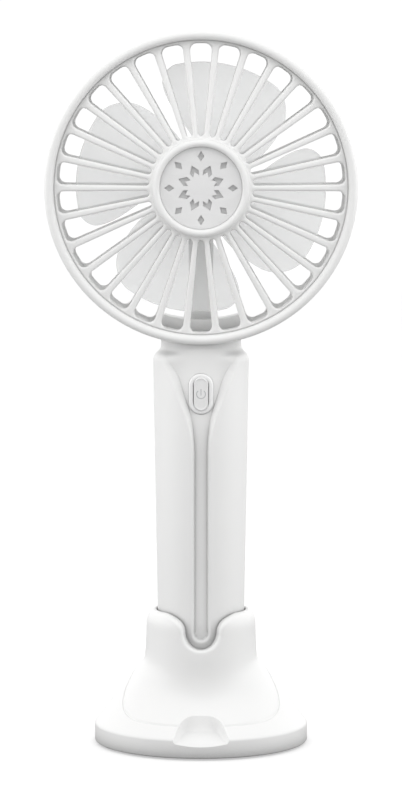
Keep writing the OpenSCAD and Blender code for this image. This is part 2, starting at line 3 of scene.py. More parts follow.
import bmesh
import bpy
import numpy as np
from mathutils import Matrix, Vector


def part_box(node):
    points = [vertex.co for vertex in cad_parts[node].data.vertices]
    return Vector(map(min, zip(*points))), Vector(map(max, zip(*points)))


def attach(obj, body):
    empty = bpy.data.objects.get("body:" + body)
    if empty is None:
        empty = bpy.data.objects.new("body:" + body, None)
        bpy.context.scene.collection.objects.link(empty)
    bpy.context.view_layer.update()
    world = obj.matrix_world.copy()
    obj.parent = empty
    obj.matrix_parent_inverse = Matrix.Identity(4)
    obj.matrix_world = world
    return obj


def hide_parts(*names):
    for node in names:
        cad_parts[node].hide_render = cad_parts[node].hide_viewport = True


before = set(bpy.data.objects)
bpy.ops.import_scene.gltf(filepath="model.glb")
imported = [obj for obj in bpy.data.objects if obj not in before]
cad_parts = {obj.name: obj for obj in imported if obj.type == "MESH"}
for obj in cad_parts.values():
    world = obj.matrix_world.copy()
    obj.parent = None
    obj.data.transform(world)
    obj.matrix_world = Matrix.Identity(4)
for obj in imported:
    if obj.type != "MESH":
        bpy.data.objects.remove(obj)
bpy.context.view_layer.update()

# Hand-held mini fan standing in its base. Shapes are worked out in millimetres, in the frame's own axes,
# and turned into metres when a mesh is made. The head's pieces use a local frame: (x, y, h), with h forwards.
MM = 0.001
MERGE_M = 1e-6        # metres within which two points are one
DEGENERATE_M = 1e-7   # metres below which an edge is dropped


def span(node):
    """Lowest and highest corner of a CAD node, in mm."""
    lo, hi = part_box(node)
    return np.array(lo) / MM, np.array(hi) / MM


# ---------- driving sizes, from the frame ----------

grille_lo, grille_hi = span("front_grille")
HEAD_Z = (grille_lo[2] + grille_hi[2]) / 2
HEAD_R = (grille_hi[0] - grille_lo[0]) / 2
FRONT_DEPTH = -span("medallion")[0][1] - 0.7
MEDALLION_R = (span("medallion")[1][0] - span("medallion")[0][0]) / 2
BEZEL_R = MEDALLION_R + 2.4
REAR_DEPTH = 15.0
SPOKES = 30
SLOT_R = HEAD_R - 3.8
SLOT_INNER_R = 16.5
FLANGE_H = FRONT_DEPTH - 2.5

BASE_R = span("base_shell")[1][0]
COLLAR_Z = span("base_shell")[1][2]
COLLAR_R = 18.0
RIM_H = 6.5
RIM_Z = 0.6

HANDLE_Z = span("handle_front")[0][2]
HANDLE_TOP_R = span("handle_front")[1][0]
HANDLE_END_R = 13.4
SHOULDER_Z = 124.3
NECK_R = 13.0
GROOVE_END_Z = 37.45
REAR_SCREWS = [(-5, 126.5), (5, 126.5), (0, 80)]   # places of the handle's screws, as (x, z)
SCREW_SEAT_Y = 10.0
SOCKET_PLACE = (0, 100)
BUTTON_Z = (span("button_cap")[0][2] + span("button_cap")[1][2]) / 2
BEZEL_HALF = (span("button_bezel")[1][0], span("button_bezel")[1][2] - BUTTON_Z)
KEY_HALF = (span("button_cap")[1][0] - 0.7, span("button_cap")[1][2] - BUTTON_Z - 0.5)


# ---------- mesh helpers ----------

def ease(t):
    """0 to 1 with a soft start and end."""
    t = np.clip(t, 0, 1)
    return t * t * (3 - 2 * t)


def to_head(points):
    """Points of the head's local frame, (x, y, h), in the row frame."""
    p = np.asarray(points, float)
    return np.stack([p[..., 0], -p[..., 2], HEAD_Z + p[..., 1]], -1)


def grid_faces(rows, columns, start=0, close_rows=False, close_columns=False):
    """Quads of a grid of points that is stored row by row."""
    faces = []
    for i in range(rows if close_rows else rows - 1):
        a0, b0 = start + i * columns, start + (i + 1) % rows * columns
        for j in range(columns if close_columns else columns - 1):
            k = (j + 1) % columns
            faces.append((a0 + j, a0 + k, b0 + k, b0 + j))
    return faces


def loft_faces(count, size):
    """Faces of a solid through count loops of size points, with its two ends."""
    ends = [tuple(range(size)), tuple(range((count - 1) * size, count * size))]
    return grid_faces(count, size, close_columns=True) + ends


def solid(name, points, faces, dissolve=False):
    """An object from points in mm, merged where they meet, with its faces turned outwards."""
    mesh = bpy.data.meshes.new(name)
    mesh.from_pydata((np.asarray(points, float).reshape(-1, 3) * MM).tolist(), [], faces)
    bm = bmesh.new()
    bm.from_mesh(mesh)
    bmesh.ops.remove_doubles(bm, verts=bm.verts, dist=MERGE_M)
    if dissolve:
        bmesh.ops.dissolve_degenerate(bm, edges=bm.edges, dist=DEGENERATE_M)
    bmesh.ops.recalc_face_normals(bm, faces=bm.faces)
    bm.to_mesh(mesh)
    bm.free()
    obj = bpy.data.objects.new(name, mesh)
    bpy.context.scene.collection.objects.link(obj)
    return obj


def finish_shading(obj, sharp):
    obj.data.shade_smooth()
    obj.data.set_sharp_from_angle(angle=math.radians(sharp))


def piece(name, points, faces, body, material, slot, replaces=(), sharp=32):
    """A smooth piece with its material, riding on a CAD body in place of the CAD nodes it replaces."""
    obj = solid(name, points, faces, dissolve=True)
    finish_shading(obj, sharp)
    obj.data.materials.append(material)
    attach(obj, body)
    if replaces:
        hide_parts(*replaces)
    return obj


def tool(points, faces):
    """A throwaway solid for cutting another or adding to it."""
    return solid("tool", points, faces)


def combine(obj, operation, tools, sharp=32):
    """Cuts tools out of obj, or adds them to it, and applies the result."""
    for t in tools:
        m = obj.modifiers.new("combine", "BOOLEAN")
        m.operation, m.solver, m.object = operation, "EXACT", t
    made = bpy.data.meshes.new_from_object(obj.evaluated_get(bpy.context.evaluated_depsgraph_get()))
    old, obj.data = obj.data, made
    obj.modifiers.clear()
    made.name = obj.name
    bpy.data.meshes.remove(old)
    for t in tools:
        bpy.data.objects.remove(t)
    finish_shading(obj, sharp)


def prism(outline, axis_point, y0, y1):
    """A bar along Y with an outline in (x, z) round axis_point."""
    loop = np.asarray(outline, float) + np.asarray(axis_point, float)
    n = len(loop)
    points = [(x, y, z) for y in (y0, y1) for x, z in loop]
    faces = grid_faces(2, n, close_columns=True) + [tuple(range(n)), tuple(range(2 * n - 1, n - 1, -1))]
    return points, faces


def oblong(half_w, half_h, steps=20):
    """Outline with round ends, in (x, z)."""
    a = np.linspace(0, math.pi, steps)
    top = np.stack([half_w * np.cos(a), half_h - half_w + half_w * np.sin(a)], 1)
    return np.concatenate([top, -top])


def polar(radius, angle):
    """Points at a radius and angle, as (x, y)."""
    return np.stack([radius * np.cos(angle), radius * np.sin(angle)], 1)


def circle(radius, steps=40):
    return polar(radius, np.linspace(0, 2 * math.pi, steps, endpoint=False))


def rounded(corners, steps=5):
    """A polyline with its corners rounded: each corner is (a, b, radius)."""
    out = []
    last = len(corners) - 1
    for i, (a, b, radius) in enumerate(corners):
        p = np.array([a, b], float)
        if radius == 0 or i in (0, last):
            out.append(p)
            continue
        before, after = (np.array(corners[k][:2], float) - p for k in (i - 1, i + 1))
        reach = min(radius, 0.49 * np.linalg.norm(before), 0.49 * np.linalg.norm(after))
        u, v = before / np.linalg.norm(before) * reach, after / np.linalg.norm(after) * reach
        for t in np.linspace(0, 1, steps):
            out.append(p + u * (1 - t) ** 2 + v * t ** 2)
    return np.array(out)


def spline(points, step):
    """A smooth line through points, resampled at about one point a step."""
    p = np.asarray(points, float)
    ends = np.concatenate([[2 * p[0] - p[1]], p, [2 * p[-1] - p[-2]]])
    dense = []
    for i in range(len(p) - 1):
        a, b, c, d = ends[i:i + 4]
        for t in np.linspace(0, 1, 40, endpoint=False):
            dense.append(0.5 * (2 * b + (c - a) * t + (2 * a - 5 * b + 4 * c - d) * t ** 2
                                + (3 * b - a - 3 * c + d) * t ** 3))
    return resample(np.array(dense + [p[-1]]), step)


def resample(line, step):
    """The same line with its points evenly spaced."""
    run = np.concatenate([[0], np.cumsum(np.linalg.norm(np.diff(line, axis=0), axis=1))])
    s = np.linspace(0, run[-1], max(int(round(run[-1] / step)), 2) + 1)
    return np.stack([np.interp(s, run, line[:, k]) for k in range(line.shape[1])], 1)


def revolve(profile, steps=96, ring=False):
    """A solid from a profile of (r, height) turned about its axis. A ring's profile closes on itself."""
    p = np.asarray(profile, float)
    a = np.linspace(0, 2 * math.pi, steps, endpoint=False)
    points = np.stack([np.outer(p[:, 0], np.cos(a)), np.outer(p[:, 0], np.sin(a)),
                       np.outer(p[:, 1], np.ones(steps))], -1)
    if ring:
        faces = grid_faces(len(p), steps, close_rows=True, close_columns=True)
    else:
        faces = loft_faces(len(p), steps)
    return points.reshape(-1, 3), faces


def turned(points, angle):
    """Points turned in the plane of their first two axes."""
    p = np.array(points, float)
    c, q = math.cos(angle), math.sin(angle)
    p[..., :2] = np.stack([p[..., 0] * c - p[..., 1] * q, p[..., 0] * q + p[..., 1] * c], -1)
    return p


def shifted(r0, h0, *offsets):
    """Points of a section at offsets from (r0, h0)."""
    return [(r0 + r, h0 + h) for r, h in offsets]


def thick(outer, inner):
    """A closed shell from two matching grids of points: both skins, and the four borders between them."""
    rows, columns = outer.shape[:2]
    points = np.concatenate([outer.reshape(-1, 3), inner.reshape(-1, 3)])
    count = rows * columns
    faces = grid_faces(rows, columns) + [f[::-1] for f in grid_faces(rows, columns, start=count)]
    edge = ([(0, j) for j in range(columns)] + [(i, columns - 1) for i in range(1, rows)]
            + [(rows - 1, j) for j in range(columns - 2, -1, -1)] + [(i, 0) for i in range(rows - 2, 0, -1)])
    loop = [i * columns + j for i, j in edge]
    faces += [(a, b, b + count, a + count) for a, b in zip(loop, loop[1:] + loop[:1])]
    return points, faces


def joined(*parts):
    """Several (points, faces) as one."""
    points, faces, start = [], [], 0
    for p, f in parts:
        p = np.asarray(p, float).reshape(-1, 3)
        points.append(p)
        faces += [tuple(k + start for k in face) for face in f]
        start += len(p)
    return np.concatenate(points), faces


# ---------- materials ----------

def remap(tree, source, start, end, low, high, smooth=True):
    """Turns the source's range from start to end into low to high."""
    node = tree.nodes.new("ShaderNodeMapRange")
    node.interpolation_type = "SMOOTHSTEP" if smooth else "LINEAR"
    for key, value in (("From Min", start), ("From Max", end), ("To Min", low), ("To Max", high)):
        node.inputs[key].default_value = value
    tree.links.new(source, node.inputs["Value"])
    return node.outputs["Result"]


def look(name, colour, roughness, metallic=0.0, mottle=0.02, mottle_mm=9.0, gloss_mm=3.0, gloss_spread=0.05,
         grain_mm=0.25, grain=0.15, stretch=(1, 1, 1), painted_shade=0.0, painted_shade_mm=6.0, **sockets):
    """A procedural finish: slow colour variation, painted shade that darkens the colour in hollows, patches of
    gloss, and a fine grain.
    """
    m = bpy.data.materials.new(name)
    m.use_nodes = True
    nodes, links = m.node_tree.nodes, m.node_tree.links
    shader = nodes["Principled BSDF"]
    place = nodes.new("ShaderNodeTexCoord")
    scale = nodes.new("ShaderNodeMapping")
    scale.inputs["Scale"].default_value = stretch
    links.new(place.outputs["Object"], scale.inputs["Vector"])

    def noise(size_mm, detail):
        n = nodes.new("ShaderNodeTexNoise")
        n.inputs["Scale"].default_value = 1 / (size_mm * MM)
        n.inputs["Detail"].default_value = detail
        links.new(scale.outputs["Vector"], n.inputs["Vector"])
        return n

    mottled = nodes.new("ShaderNodeValToRGB")
    low, high = mottled.color_ramp.elements
    low.position, high.position = 0.3, 0.7
    low.color = (*[c * (1 - mottle) for c in colour], 1)
    high.color = (*[min(c * (1 + mottle), 1) for c in colour], 1)
    links.new(noise(mottle_mm, 4).outputs["Fac"], mottled.inputs["Fac"])
    tint = mottled.outputs["Color"]
    # painted shade: ambient occlusion darkens the base colour in hollows, creases and gaps
    if painted_shade:
        nearby = nodes.new("ShaderNodeAmbientOcclusion")
        nearby.samples = 6
        nearby.inputs["Distance"].default_value = painted_shade_mm * MM
        shade = remap(m.node_tree, nearby.outputs["AO"], 0.3, 0.97, 1 - painted_shade, 1)
        shaded_tint = nodes.new("ShaderNodeVectorMath")
        shaded_tint.operation = "SCALE"
        links.new(tint, shaded_tint.inputs["Vector"])
        links.new(shade, shaded_tint.inputs["Scale"])
        tint = shaded_tint.outputs["Vector"]
    links.new(tint, shader.inputs["Base Color"])

    gloss = remap(m.node_tree, noise(gloss_mm, 3).outputs["Fac"], 0.3, 0.7, max(roughness - gloss_spread, 0.02),
                  roughness + gloss_spread, smooth=False)
    links.new(gloss, shader.inputs["Roughness"])

    bump = nodes.new("ShaderNodeBump")
    bump.inputs["Strength"].default_value = grain
    bump.inputs["Distance"].default_value = grain_mm * MM * 0.2
    links.new(noise(grain_mm, 2).outputs["Fac"], bump.inputs["Height"])
    links.new(bump.outputs["Normal"], shader.inputs["Normal"])

    shader.inputs["Metallic"].default_value = metallic
    for key, value in sockets.items():
        shader.inputs[key.replace("_", " ")].default_value = value
    return m


BODY_COLOUR = (0.90, 0.90, 0.895)
BODY_FINISH = dict(mottle=0.008, mottle_mm=22, gloss_mm=6, gloss_spread=0.03, grain_mm=0.22, grain=0.12)
# Painted shade: each white darkens in hollows; the shells' copy, on the base and handle, has the strongest
# painted shade
WHITE = look("body_white", BODY_COLOUR, 0.42, painted_shade=0.22, **BODY_FINISH)
SHELL = look("shell_white", BODY_COLOUR, 0.42, painted_shade=0.5, painted_shade_mm=8, **BODY_FINISH)
TRIM = look("trim_white", (0.93, 0.93, 0.93), 0.2, mottle=0.005, gloss_spread=0.03, grain_mm=0.5, grain=0.03,
            painted_shade=0.06, painted_shade_mm=2)

# ---------- stage, light and camera ----------

scene = bpy.context.scene
scene.view_settings.view_transform = "Standard"

TENT_FRONT = 0.72
TENT_SIDE = 1.36
TENT_TOP = 0.68
TENT_SEEN = 1.05   # what the camera sees of the tent, whatever lights the object
FLOOR_GLOW = 0.5
FLOOR_NEAR_SHADE = 0.24
FLOOR_FAR = 0.55
FLOOR_REACH = 2.5
MIX_A, MIX_B, MIX_RESULT = 6, 7, 2   # the colour sockets of a Mix node

def build_stage():
    """A floor that looks white to the camera and is darker to every other ray, with painted shade darkest near
    the object that stands in for its contact shadow.
    """
    bm = bmesh.new()
    bmesh.ops.create_grid(bm, x_segments=8, y_segments=8, size=FLOOR_REACH)
    mesh = bpy.data.meshes.new("floor")
    bm.to_mesh(mesh)
    bm.free()
    floor = bpy.data.objects.new("floor", mesh)
    scene.collection.objects.link(floor)
    paper = look("floor_paper", (0.5, 0.5, 0.5), 0.9, mottle=0.004, mottle_mm=60, grain=0.02)
    nodes, links = paper.node_tree.nodes, paper.node_tree.links
    shader, sees = nodes["Principled BSDF"], nodes.new("ShaderNodeLightPath")
    place, radius = nodes.new("ShaderNodeTexCoord"), nodes.new("ShaderNodeVectorMath")
    radius.operation = "LENGTH"
    links.new(place.outputs["Object"], radius.inputs[0])
    # painted shade: the colour the floor bounces is darkest near the object, in place of its contact shadow
    painted_bounce_shade = remap(paper.node_tree, radius.outputs["Value"], 0.1, 0.4, FLOOR_NEAR_SHADE, FLOOR_FAR)
    tone = nodes.new("ShaderNodeMix")
    tone.data_type = "RGBA"
    shade = shader.inputs["Base Color"].links[0].from_socket
    links.new(sees.outputs["Is Camera Ray"], tone.inputs["Factor"])
    links.new(painted_bounce_shade, tone.inputs[MIX_A])
    links.new(shade, tone.inputs[MIX_B])
    links.new(tone.outputs[MIX_RESULT], shader.inputs["Base Color"])
    glow = nodes.new("ShaderNodeMath")
    glow.operation = "MULTIPLY"
    glow.inputs[1].default_value = FLOOR_GLOW
    links.new(sees.outputs["Is Camera Ray"], glow.inputs[0])
    shader.inputs["Emission Color"].default_value = (1, 1, 1, 1)
    links.new(glow.outputs["Value"], shader.inputs["Emission Strength"])
    mesh.materials.append(paper)


def build_world():
    """A white light tent that is open, and so darker, on the camera's side."""
    world = bpy.data.worlds.new("tent")
    scene.world = world
    world.use_nodes = True
    nodes, links = world.node_tree.nodes, world.node_tree.links
    back = nodes["Background"]
    back.inputs["Color"].default_value = (1, 1, 1, 1)
    place = nodes.new("ShaderNodeTexCoord")
    split = nodes.new("ShaderNodeSeparateXYZ")
    links.new(place.outputs["Generated"], split.inputs["Vector"])

    def ramp(axis, start, end, low, high):
        return remap(world.node_tree, split.outputs[axis], start, end, low, high)

    def blend(factor, a, b):
        m = nodes.new("ShaderNodeMix")
        for key, value in (("Factor", factor), ("A", a), ("B", b)):
            if isinstance(value, float):
                m.inputs[key].default_value = value
            else:
                links.new(value, m.inputs[key])
        return m.outputs["Result"]

    walls = ramp("Y", -0.98, -0.4, TENT_FRONT, TENT_SIDE)
    tent = blend(ramp("Z", 0.35, 0.95, 0.0, 1.0), walls, TENT_TOP)
    sees = nodes.new("ShaderNodeLightPath")
    links.new(blend(sees.outputs["Is Camera Ray"], tent, TENT_SEEN), back.inputs["Strength"])


def soft_box(name, place, aim, size, power):
    data = bpy.data.lights.new(name, "AREA")
    data.shape, data.size, data.size_y, data.energy = "RECTANGLE", size[0], size[1], power
    lamp = bpy.data.objects.new(name, data)
    lamp.location = place
    lamp.rotation_euler = (Vector(aim) - Vector(place)).to_track_quat("-Z", "Y").to_euler()
    scene.collection.objects.link(lamp)


def build_camera():
    """Level with the collar and slightly above the middle, looking down a little, as a product shot does."""
    distance, pitch, aim_z = 1.1, math.radians(5.2), 0.1113
    data = bpy.data.cameras.new("camera")
    data.lens, data.sensor_width = 153.4, 36
    camera = bpy.data.objects.new("camera", data)
    camera.location = (0, -distance * math.cos(pitch), aim_z + distance * math.sin(pitch))
    camera.rotation_euler = (math.pi / 2 - pitch, 0, 0)
    scene.collection.objects.link(camera)
    scene.camera = camera


build_stage()
build_world()
soft_box("top_box", (0, -0.45, 0.85), (0, 0, 0.15), (0.8, 0.5), 1.7)
for side, name in ((-1, "left_box"), (1, "right_box")):
    soft_box(name, (side * 0.8, -0.1, 0.15), (0, 0, 0.12), (0.6, 0.8), 1.5)
build_camera()

# ---------- base ----------

EDGE_X_R = COLLAR_R - 1.0
DIP_R = 5.8
DIP_Z = COLLAR_Z - 5.3
SEAM_WIDTH = 0.4
SEAM_DEPTH = 0.36
COLLAR_LEAN = 1.6
COLLAR_LEAN_H = 4.4
SEAM_END_ANGLE = 102   # degrees from the front, either way
SEAM_MARGIN = 0.5      # half width of the band of rows that follows the seam
HANDLE_GAP = 0.3       # between the handle and the base's socket
BACK_COLUMNS = 120
CREASE_PASSES = 14


def handle_r(z):
    return HANDLE_END_R + (z - HANDLE_Z) * (HANDLE_TOP_R - HANDLE_END_R) / (SHOULDER_Z - HANDLE_Z)


def skirt_z(r, phi):
    """Height of the skirt: shallow in front, where it sweeps up into the collar, and a steep cone behind."""
    sweep = 4.0
    t = np.maximum(COLLAR_R + sweep - r, 0) / sweep
    front = RIM_H + (BASE_R - r) * 0.62 + 6 * (1 - np.sqrt(1 - np.minimum(t * t, 1)))
    cone = RIM_H + (BASE_R - r) * 21.5 / (BASE_R - COLLAR_R)
    back = ease(np.abs(phi) / 90)
    return front * (1 - back) + cone * back


def seam_r(phi):
    """Radius of the seam between the front of the skirt and its back, in direction phi from the front."""
    t = np.minimum(np.abs(phi) / 90, 1.12)
    return 28.7 + 13.2 * t ** 2 - 39.0 * t ** 4 + 18.3 * t ** 6


def collar_r(z):
    """Radius of the collar: nearly upright, and leaning in over the last few millimetres."""
    lean = np.clip((z - COLLAR_Z) / COLLAR_LEAN_H + 1, 0, 1)
    taper = np.interp(z, [29, 32, 37, 40.5], [0, 0.15, 0.3, 0.38])
    return COLLAR_R - taper - COLLAR_LEAN * lean ** 2


def lip_line():
    """Upper edge of the collar as (phi, z), once round from -180, with the dip at the front."""
    half = np.concatenate([
        [[DIP_R * math.sin(a), DIP_Z - DIP_R * math.cos(a)] for a in np.linspace(0, math.pi / 2, 12)[:-1]],
        [[DIP_R, DIP_Z], [6.35, DIP_Z + 1.7], [7.7, DIP_Z + 3.3], [10, DIP_Z + 4.55], [12.6, COLLAR_Z],
         [14.8, COLLAR_Z]]])
    right = spline(half, 0.3)
    front = np.concatenate([np.stack([-right[:0:-1, 0], right[:0:-1, 1]], 1), right])
    front[:, 1] = np.minimum(front[:, 1], COLLAR_Z)
    limit = math.degrees(math.asin(front[-1, 0] / EDGE_X_R))
    return front, limit


def build_base():
    front, limit = lip_line()
    count = len(front)
    tangent = np.gradient(front, axis=0)
    tangent /= np.linalg.norm(tangent, axis=1)[:, None]
    inwards = np.stack([tangent[:, 1], -tangent[:, 0]], 1)
    rest = np.linspace(limit, 360 - limit, BACK_COLUMNS + 2)[1:-1]
    even = np.concatenate([np.linspace(-limit, limit, count), rest])
    signed = np.where(even > 180, even - 360, even)
    total = len(even)

    def edge_row(offset):
        """The lip's line moved into the material by offset, as (phi, z)."""
        moved = front + inwards * offset
        phi = np.degrees(np.arcsin(moved[:, 0] / EDGE_X_R))
        return (np.concatenate([phi, rest]),
                np.concatenate([moved[:, 1], np.full(len(rest), COLLAR_Z - offset)]))

    rows = []

    def add(phi, r, z):
        rows.append(np.stack([np.broadcast_to(v, total) for v in (phi, r, z)], -1))

    under = rounded([(0.01, 6, 0), (15.8, 6, 0.5), (15.8, 20, 0.2), (16.2, 20, 0.2), (18.6, 15.5, 0.8),
                     (22, 10.3, 0.8), (29, 5.9, 0.8), (32.4, 4.3, 0.5), (32.4, RIM_Z, 0.15),
                     (BASE_R, RIM_Z, 0.7), (BASE_R, 3, 0)], 4)
    for r, z in under:
        add(even, r, z)
    # the rim's upper edge, rolled over into the skirt
    roll = 0.55
    for t in np.linspace(0, 1, 6):
        r = BASE_R - roll * t ** 2
        start, end = RIM_H - roll, skirt_z(BASE_R - roll, signed)
        add(even, r, start * (1 - t) ** 2 + 2 * RIM_H * t * (1 - t) + end * t ** 2)
    # the skirt, with rows that follow the seam
    seam = np.clip(seam_r(signed), COLLAR_R + 1.2, BASE_R - 2)
    depth = SEAM_DEPTH * ease((SEAM_END_ANGLE - np.abs(signed)) / 4)
    outer, inner = BASE_R - roll, COLLAR_R
    for t in np.linspace(0, 1, 10)[1:-1]:
        r = outer + (seam + SEAM_MARGIN - outer) * t
        add(even, r, skirt_z(r, signed))
    side = [(SEAM_MARGIN, 0), (SEAM_WIDTH, 0.05), (SEAM_WIDTH * 0.7, 0.4), (SEAM_WIDTH * 0.35, 0.85)]
    for offset, share in side + [(0, 1)] + [(-d, share) for d, share in side[::-1]]:
        r = seam + offset
        add(even, r, skirt_z(r, signed) - depth * share)
    first = len(rows)
    for t in np.linspace(0, 1, 16)[1:]:
        r = seam - SEAM_MARGIN + (inner - seam + SEAM_MARGIN) * (1 - (1 - t) ** 1.6)
        add(even, r, skirt_z(r, signed))
    # the collar, whose columns gather towards the dip
    roll_out, roll_in = 1.15, 0.45
    edge_phi, edge_z = edge_row(roll_out)
    foot = skirt_z(COLLAR_R, signed)
    for t in np.linspace(0, 1, 12)[1:]:
        z = foot + (edge_z - foot) * t
        add(even + (edge_phi - even) * ease(t), collar_r(z), z)
    last = len(rows) - 4
    for a in np.linspace(0, math.pi / 2, 8)[1:]:
        offset = roll_out * (1 - math.sin(a))
        phi, z = edge_row(offset)
        add(phi, collar_r(z) - roll_out * (1 - math.cos(a)), z)
    for a in np.linspace(0, math.pi / 2, 5):
        offset = roll_in * (1 - math.cos(a))
        phi, z = edge_row(offset)
        add(phi, handle_r(z) + HANDLE_GAP + roll_in * (1 - math.sin(a)), z)
    for t in np.linspace(0, 1, 6)[1:]:
        z = edge_z + (HANDLE_Z - HANDLE_GAP - edge_z) * t
        add(edge_phi + (even - edge_phi) * t, handle_r(z) + HANDLE_GAP, z)
    add(even, 0.01, HANDLE_Z - HANDLE_GAP)

    grid = np.array(rows)
    for _ in range(CREASE_PASSES):   # softens the crease where the skirt meets the collar
        part = grid[first:last]
        grid[first + 1:last - 1, :, 1:] = (part[:-2] + 2 * part[1:-1] + part[2:])[:, :, 1:] / 4
    phi, r, z = np.radians(grid[..., 0]), grid[..., 1], grid[..., 2]
    points = np.stack([r * np.sin(phi), -r * np.cos(phi), z], -1)
    base = piece("base_housing", points, loft_faces(len(rows), total), "base", SHELL, "body_plastic",
                 ["base_shell"])
    combine(base, "DIFFERENCE", [tool(*notch())], sharp=26)


def notch():
    """Cutter for the notch in the rim's front: a scoop whose floor falls forwards and whose sides flare."""
    x, y = np.meshgrid(np.linspace(-13, 13, 79), np.linspace(-37, -22, 46))
    floor = 7.7 + (y + 27.5) * 0.38 - 0.2 * np.maximum(-32.4 - y, 0) ** 1.6
    half_w = np.interp(y, [-34.5, -31.6, -28.8, -26.8, -24.5], [8.8, 7.1, 5.9, 4.7, 2.4])
    side, back = np.maximum(np.abs(x) - half_w, 0), np.maximum(y + 27.0, 0)
    z = floor + 0.6 * np.hypot(1.5 * side, 1.15 * back) ** 1.9
    top = np.full_like(z, z.max() + 5)
    return thick(np.stack([x, y, top], -1), np.stack([x, y, z], -1))


build_base()

# ---------- handle ----------

GROOVE_SIDES = [   # (height, half width between the feet of its sides, half width over their rounded edges)
    (97, 2.15, 3.2), (100.2, 2.45, 3.6), (103.3, 2.85, 4.15), (105.3, 3.15, 4.7), (106.9, 3.55, 5.1),
    (109, 4.1, 5.8), (110.5, 4.7, 6.5), (113.1, 5.9, 7.7), (115.7, 6.8, 8.6), (118.3, 7.7, 9.6),
    (120.9, 8.9, 10.9), (123.5, 10.3, 12.3), (125.5, 11.4, 13.2), (128, 12.0, 13.6)]
SKIN = 1.8
NECK_INNER_R = 11.4
STEP_Z = 110.0
FRONT_FLAT_Y = 10.8


def groove_sides(z):
    """Half widths of the groove at height z, above its round end: of its floor, and over its rounded edges."""
    z0, floor, edge = zip(*GROOVE_SIDES)
    z = np.asarray(z, float)
    return [sum(np.interp(z + d, z0, w) for d in (-2, -1, 0, 1, 2)) / 5 for w in (floor, edge)]


def outer_r(z):
    """The handle's outside without its groove: foot, taper, shoulder and neck."""
    z = np.asarray(z, float)
    foot = 0.6 - np.sqrt(np.maximum(0.36 - np.maximum(HANDLE_Z + 0.6 - z, 0) ** 2, 0))
    shoulder = [(0, 0), (0.35, 0.02), (0.7, 0.07), (1.05, 0.15), (1.4, 0.27), (1.75, 0.43), (2.1, 0.66),
                (2.45, 0.98), (2.8, 1.37), (3.15, 1.75), (3.5, 2.04), (3.85, 2.25), (4.2, 2.38), (4.9, 2.52),
                (7, 2.75), (60, 2.75)]
    drop = np.interp(z - SHOULDER_Z, *zip(*shoulder))
    return np.where(z < SHOULDER_Z, handle_r(z) - foot, HANDLE_TOP_R - drop)


def floor_r(z):
    return np.interp(z, [0, 112], [12.3, NECK_R])


def groove_share(x, z):
    """0 on the groove's floor, 1 outside the groove, and in between on its sloping border."""
    floor, edge = groove_sides(z)
    along = np.where(z < GROOVE_END_Z, np.hypot(x, z - GROOVE_END_Z), np.abs(x))
    t = np.maximum((along - floor) / (edge - floor), 0)
    soft = ease(t)
    upright = np.sqrt(1 - (1 - np.minimum(t, 1)) ** 2)
    # the sides are upright in the channel, and slope in the wider recess round the button
    wall = soft + (upright - soft) * (0.35 + 0.65 * ease((109 - z) / 9))
    # a shallow dip runs beside the groove's edge
    wall -= 0.035 * np.exp(-((along - edge - 0.9) / 0.45) ** 2)
    # towards the shoulder the recess runs out, from the sides inwards
    fade = ease((z - 118) / 9) * ease((np.abs(x) - 4.5) / 8.5)
    return 1 - (1 - wall) * (1 - fade)


def handle_rows(fine):
    """Heights of the handle's rows, close together where its shape changes."""
    parts = [HANDLE_Z + np.array([0, 0.04, 0.12, 0.25, 0.4, 0.6]), np.arange(11, 33, 3)]
    parts += [np.arange(33.5, 40.5, 0.28 if fine else 2), np.arange(42, 92, 3)]
    parts += [np.arange(92, 104, 1.0), np.arange(104, SHOULDER_Z - 0.1, 0.42 if fine else 2)]
    parts += [SHOULDER_Z + np.arange(0, 5.0, 0.35)]
    return np.concatenate(parts)


def handle_shell(front):
    """Outer and inner skins of one half of the handle, as matching grids."""
    z_rows = handle_rows(front)
    turn = math.pi if not front else 0
    rows = []
    for z in z_rows:
        r = float(outer_r(z))
        if front:
            floor_x, edge_x = (min(float(w), limit * r) for w, limit in zip(groove_sides(z), (0.8, 0.93)))
            a = [math.asin(floor_x / r), math.asin(edge_x / r)]
            right = np.concatenate([np.linspace(0, a[0], 7)[:-1], np.linspace(a[0], a[1], 20)[:-1],
                                    np.linspace(a[1], math.pi / 2 - 0.5 / r, 24)])
        else:
            right = np.linspace(0, math.pi / 2 - 0.5 / r, 40)
        right = np.concatenate([right, math.pi / 2 - np.array([0.22, 0.08, 0]) / r])
        rows.append(np.concatenate([-right[:0:-1], right]))
    phi = np.array(rows)
    z = np.repeat(z_rows[:, None], phi.shape[1], 1)
    outside = outer_r(z)
    if front:
        share = groove_share(outside * np.sin(phi), z)
        floor = np.minimum(floor_r(z), outside)
        outside = floor + (outside - floor) * share
    outside[:, [0, -1]] -= 0.22
    outside[:, [1, -2]] -= 0.06
    inside = np.where(z < STEP_Z, outer_r(np.minimum(z, STEP_Z)) - SKIN, NECK_INNER_R)
    inside = np.where(z < 10.4, 12.0, inside)
    if front:
        flat = FRONT_FLAT_Y / np.maximum(np.cos(phi), 0.2)
        inside = np.where((z > 10.4) & (z < STEP_Z), np.minimum(inside, flat), inside)

    def placed(r, height):
        return np.stack([r * np.sin(phi + turn), -r * np.cos(phi + turn), height], -1)

    top = HEAD_Z - np.sqrt((HEAD_R + 0.15) ** 2 - (NECK_R * np.sin(phi[-1])) ** 2)

    def raised(skin):
        """The skin with its last row carried up to the underside of the head."""
        heights = [(1 - t) * z[-1] + t * top for t in (0.35, 0.8, 1.0)]
        return np.concatenate([skin, [np.stack([skin[-1, :, 0], skin[-1, :, 1], h], -1) for h in heights]])

    return raised(placed(outside, z)), raised(placed(inside, z))


